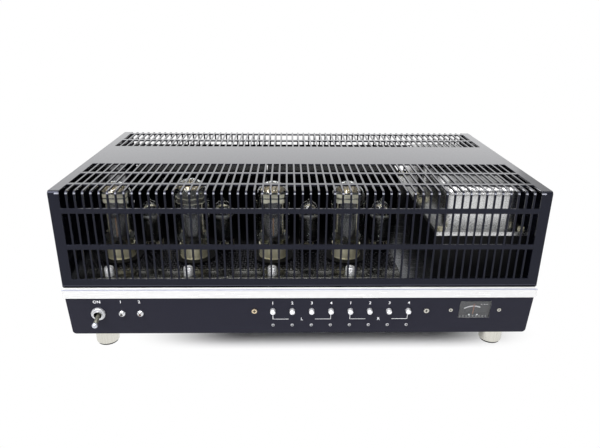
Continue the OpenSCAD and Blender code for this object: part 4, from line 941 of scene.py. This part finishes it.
screws = {"row": (-46.05, 122.45), "rowS": 15.2, "rowHead": (5.2, 1.4),
          "meter": (146.5, 194.3), "meterS": 14.7, "meterHead": (3.8, 1.0),
          "wide": 1 / 6, "long": 0.62, "gap": 0.06, "low": 0.4, "high": 0.5, "edge": 0.08}
bm = bmesh.new()
w = screws
for group in ("row", "meter"):
    head, high = w[group + "Head"]
    wide, long, tall = head * w["wide"] - w["gap"], head * w["long"] - w["gap"], high * w["high"]
    for x in w[group]:
        for size in ((wide, long, tall), (long, wide, tall)):
            addBox(bm, size, onPanel(x, w[group + "S"], high * w["low"] + tall / 2), w["edge"])
makePiece("screwCrosses", bm, oldPolish)
print("trimmers and screws made")


# Power switch: dress nut with a gripped rim

switch = {"x": -197.0, "s": 17.6, "nut": 6.9, "nutHigh": 2.8, "bore": 4.85, "grips": (1, 3, 0.25, 24),
          "foot": 0.2, "crown": ((0.0, 0.7), (0.5, 0.15), (1.2, 0.0))}
w = switch
nut, high, foot = w["nut"], w["nutHigh"], w["foot"]
bm = bmesh.new()
outline = [(w["bore"], 0.0), (nut - foot, 0.0), (nut, foot)]
outline += [(nut - inset, high - under) for inset, under in w["crown"]]
addHollow(bm, outline + [(w["bore"], high)], 96, flutes=w["grips"])
makePiece("dressNut", bm, turnedSteel, ["toggle_nut"], onPanel(w["x"], w["s"]))

# Lamps: domed bezels with a small tinted lens

lamps = {"x": (-174.3, -156.6), "s": 17.6, "radius": 3.7, "high": 3.6, "lens": 1.3, "back": -2.0, "stem": 2.9,
         "rim": 0.9, "gap": 0.06, "dome": ((0.7, 0.45), (0.35, 0.3), (0.0, 0.26)), "domeLow": 0.75,
         "bezelSteps": 10}


def makeLamp(k):
    p = lamps
    face = onPanel(p["x"][k - 1], p["s"])
    r, h, hole, back = p["radius"], p["high"], p["lens"], p["back"]
    ball = (r * r + h * h) / (2 * h)
    start = math.degrees(math.atan2(ball - h, r))
    stop = math.degrees(math.acos(hole / ball))
    bm = bmesh.new()
    outline = [(hole, back), (p["stem"], back), (p["stem"], 0.0), (r, 0.0)]
    outline += arc(ball, start, stop, p["bezelSteps"], (0, h - ball))[1:]
    addHollow(bm, outline + [(hole, h - p["rim"])], 48)
    makePiece(f"lampBezel_{k}", bm, chromePlate, ["lamp_bezels"], face)
    side = hole - p["gap"]
    outline = [(0, back), (side, back), (side, h - p["domeLow"])]
    lens = turned(outline + [(hole * share, h - under) for share, under in p["dome"]], 32)
    makePiece(f"lampLens_{k}", lens, (amberLens, redLens)[k - 1], ["lamp_lenses"], face)


for k in (1, 2):
    makeLamp(k)
print("switch and lamps made")


# Panel printing: plain numbers, ON at the switch, brackets under the two groups

printing = {"label": 3.2, "labelS": 6.4, "switchS": 4.4, "gap": 13.0, "line": 0.45, "bracket": (19.4, 25.6),
            "groups": ((1, 4), (5, 8))}
bm = bmesh.new()
p = printing
thick, lift = lettering["thick"], lettering["lift"]
for k in range(1, 9):
    addPrint(bm, str((k - 1) % 4 + 1), p["label"], onPanel(controlX(k), p["labelS"], lift))
for word, x in zip(("ON", "1", "2"), (switch["x"], *lamps["x"])):
    addPrint(bm, word, p["label"], onPanel(x, p["switchS"], lift))
top, low = p["bracket"]
for (first, last), letter in zip(p["groups"], "LR"):
    left, right = controlX(first), controlX(last)
    middle = (left + right) / 2
    for x in (left, right):
        addBox(bm, (p["line"], low - top, thick), onPanel(x, (top + low) / 2, lift))
    for a, b in ((left, middle - p["gap"]), (middle + p["gap"], right)):
        addBox(bm, (b - a, p["line"], thick), onPanel((a + b) / 2, low, lift))
    addPrint(bm, letter, p["label"], onPanel(middle, low, lift))
makePiece("panelPrint", bm, printedInk)

# Dial printing: a broad white arc and three marks, and two dots on the cover over the hub; a row of dashes on
# the cover is a painted reflection along the window's lower edge

dial = {
    "middle": 170.4, "face": -5.17, "cover": -3.27, "arcS": 29.4, "arc": (15.3, 16.7), "sweep": (-35, 25),
    "steps": 32, "dotS": 22.4, "dotX": 4.0, "dot": 1.0, "dashes": 9, "dashStep": 3.2,
    "dash": (1.44, 0.5), "dashS": 24.1,
    "markS": 11.3, "markHigh": 0.9, "marks": ((177.9, 1.1), (180.8, 1.5), (183.3, 1.2)),
}
bm = bmesh.new()
d = dial
thick, lift = lettering["thick"], lettering["lift"]
face = onPanel(d["middle"], d["arcS"], d["face"])
low, high = d["arc"]
start, end = [math.radians(a) for a in d["sweep"]]
angles = [start + (end - start) * i / d["steps"] for i in range(d["steps"] + 1)]
for a, b in zip(angles, angles[1:]):
    corners = [Vector((r * math.sin(c), r * math.cos(c), 0))
               for r, c in ((low, a), (low, b), (high, b), (high, a))]
    bm.faces.new([bm.verts.new(face @ corner) for corner in corners])
bmesh.ops.remove_doubles(bm, verts=bm.verts, dist=seam)
for x, wide in d["marks"]:
    addBox(bm, (wide, d["markHigh"], thick), onPanel(x, d["markS"], d["face"]))
for side in (-1, 1):
    addTurned(bm, [(0, -lift), (d["dot"], -lift), (d["dot"], lift), (0, lift)], 16,
              onPanel(d["middle"] + side * d["dotX"], d["dotS"], d["cover"]))
# Painted reflection: a row of white dashes along the window's lower edge
for i in range(d["dashes"]):
    x = d["middle"] + (i - (d["dashes"] - 1) / 2) * d["dashStep"]
    addBox(bm, (*d["dash"], thick), onPanel(x, d["dashS"], d["cover"]))
makePiece("dialPrintAndPaintedReflection", bm, printedInk)
print("printing made")


# Rear: coloured rings on the jacks and plain numbers over the terminals

rear = {
    "wall": 129.2, "z": 44.5, "jacks": (-190.0, -160.0),
    "ring": [(4.3, 2.6), (6.4, 2.6), (6.8, 3.0), (6.8, 3.8), (6.4, 4.2), (4.3, 4.2)],
    "bays": (-50.0, -30.0, -10.0, 10.0), "numbers": ("0", "4", "8", "16"), "number": 3.0, "numberUp": 13.5,
}


def onRear(x, z, out=0.0):
    turn = Matrix(((-1, 0, 0), (0, 0, 1), (0, 1, 0))).transposed().to_4x4()
    return shift(x, rear["wall"] + out, z) @ turn


for x, material, word in zip(rear["jacks"], (redNylon, whiteNylon), ("Right", "Left")):
    bm = bmesh.new()
    addHollow(bm, rear["ring"], 48)
    makePiece("jackRing" + word, bm, material, place=onRear(x, rear["z"]))
bm = bmesh.new()
for x, text in zip(rear["bays"], rear["numbers"]):
    addPrint(bm, text, rear["number"], onRear(x, rear["z"] + rear["numberUp"], lettering["lift"]))
makePiece("rearPrint", bm, printedInk)
print("rear made")


# Floor and light

card = {
    "half": 6.0,  # m
    "fibre": 8.333,  # mm
    "shadeMiddle": (0.04, 0.0, 0.0), "shadeHalf": (0.10, 0.092, 0.0),  # m
    "fadeShare": (0.33, 1.0, 1.0),  # the shade fades three times slower along X
    "fade": 0.04,  # m
}

# White card: matt where the object's shadow falls, and plain white further off for eye, mirror and glass
bm = bmesh.new()
bmesh.ops.create_grid(bm, x_segments=1, y_segments=1, size=card["half"])
mesh = bpy.data.meshes.new("floor")
bm.to_mesh(mesh)
bm.free()
floor = bpy.data.objects.new("floor", mesh)
scene.collection.objects.link(floor)
material = bpy.data.materials.new("whiteCard")
material.use_nodes = True
tree = material.node_tree
tree.nodes.clear()
place = addNode(tree, "ShaderNodeTexCoord").outputs["Object"]
noise = {"Vector": place, "Scale": 1 / (card["fibre"] * mm), "Detail": 3.0}
fibres = addNode(tree, "ShaderNodeTexNoise", noise).outputs["Fac"]
tone = blend(tree, fibres, srgb("#eeeef4"), srgb("#f4f4f8"))
matt = addNode(tree, "ShaderNodeBsdfDiffuse", {"Color": tone})
white = addNode(tree, "ShaderNodeEmission", {"Color": (1, 1, 1, 1), "Strength": 1.0})
quarter = computeVector(tree, "ABSOLUTE", computeVector(tree, "SUBTRACT", place, card["shadeMiddle"]))
beyond = computeVector(tree, "SUBTRACT", quarter, card["shadeHalf"])
beyond = computeVector(tree, "MAXIMUM", beyond, (0, 0, 0))
fading = computeVector(tree, "MULTIPLY", beyond, card["fadeShare"])
gap = addNode(tree, "ShaderNodeVectorMath", {0: fading}, operation="LENGTH").outputs["Value"]
away = remap(tree, gap, 0.0, card["fade"], kind="SMOOTHSTEP")
path = addNode(tree, "ShaderNodeLightPath").outputs
seen = compute(tree, "MAXIMUM", path["Is Camera Ray"], path["Is Glossy Ray"])
seen = compute(tree, "MAXIMUM", seen, path["Is Transmission Ray"])
layers = {0: compute(tree, "MULTIPLY", away, seen), 1: matt.outputs["BSDF"], 2: white.outputs["Emission"]}
mixed = addNode(tree, "ShaderNodeMixShader", layers)
addNode(tree, "ShaderNodeOutputMaterial", {"Surface": mixed.outputs["Shader"]})
mesh.materials.append(material)

# The world's level on matt surfaces, what mirrors see towards the front, and where that changes to white card
room = {"fill": 0.25, "front": 0.5, "turn": (-0.75, 0.1)}
world = bpy.data.worlds.new("studio")
scene.world = world
world.use_nodes = True
tree = world.node_tree
tree.nodes.clear()
path = addNode(tree, "ShaderNodeLightPath").outputs
seen = compute(tree, "MAXIMUM", path["Is Camera Ray"], path["Is Transmission Ray"])
ways = separate(tree, addNode(tree, "ShaderNodeTexCoord").outputs["Generated"])
depth = remap(tree, ways["Y"], *room["turn"], room["front"], 1.0, "SMOOTHSTEP")
levels = {"Factor": path["Is Glossy Ray"], 2: room["fill"], 3: depth}
mirrored = addNode(tree, "ShaderNodeMix", levels, data_type="FLOAT").outputs[0]
strength = addNode(tree, "ShaderNodeMix", {"Factor": seen, 2: mirrored, 3: 1.0}, data_type="FLOAT").outputs[0]
backdrop = addNode(tree, "ShaderNodeBackground", {"Color": (1, 1, 1, 1), "Strength": strength})
addNode(tree, "ShaderNodeOutputWorld", {"Surface": backdrop.outputs["Background"]})

# Each softbox has a place and a size in metres and a power in watts, and faces the aim
aim = Vector((0, 0, 0.08))
softboxes = {
    "keyBox": ((-0.6, -0.85, 1.4), (1.0, 0.9), 30.0),
    "frontStrip": ((0.0, -0.55, 1.4), (1.6, 0.06), 6.0),
    "lowStrip": ((0.0, -0.85, 0.4), (1.5, 0.03), 0.8),
    "topBox": ((0.15, 0.1, 1.5), (1.4, 1.0), 6.0),
    "rearBox": ((-0.05, 1.7, 0.85), (2.2, 1.1), 5.8),
}
for name, (place, size, power) in softboxes.items():
    lamp = bpy.data.lights.new(name, "AREA")
    lamp.shape = "RECTANGLE"
    lamp.size, lamp.size_y = size
    lamp.energy = power
    holder = bpy.data.objects.new(name, lamp)
    scene.collection.objects.link(holder)
    holder.location = place
    holder.rotation_euler = (aim - Vector(place)).to_track_quat("-Z", "Y").to_euler()
    holder.visible_camera = False
print("floor and light made")
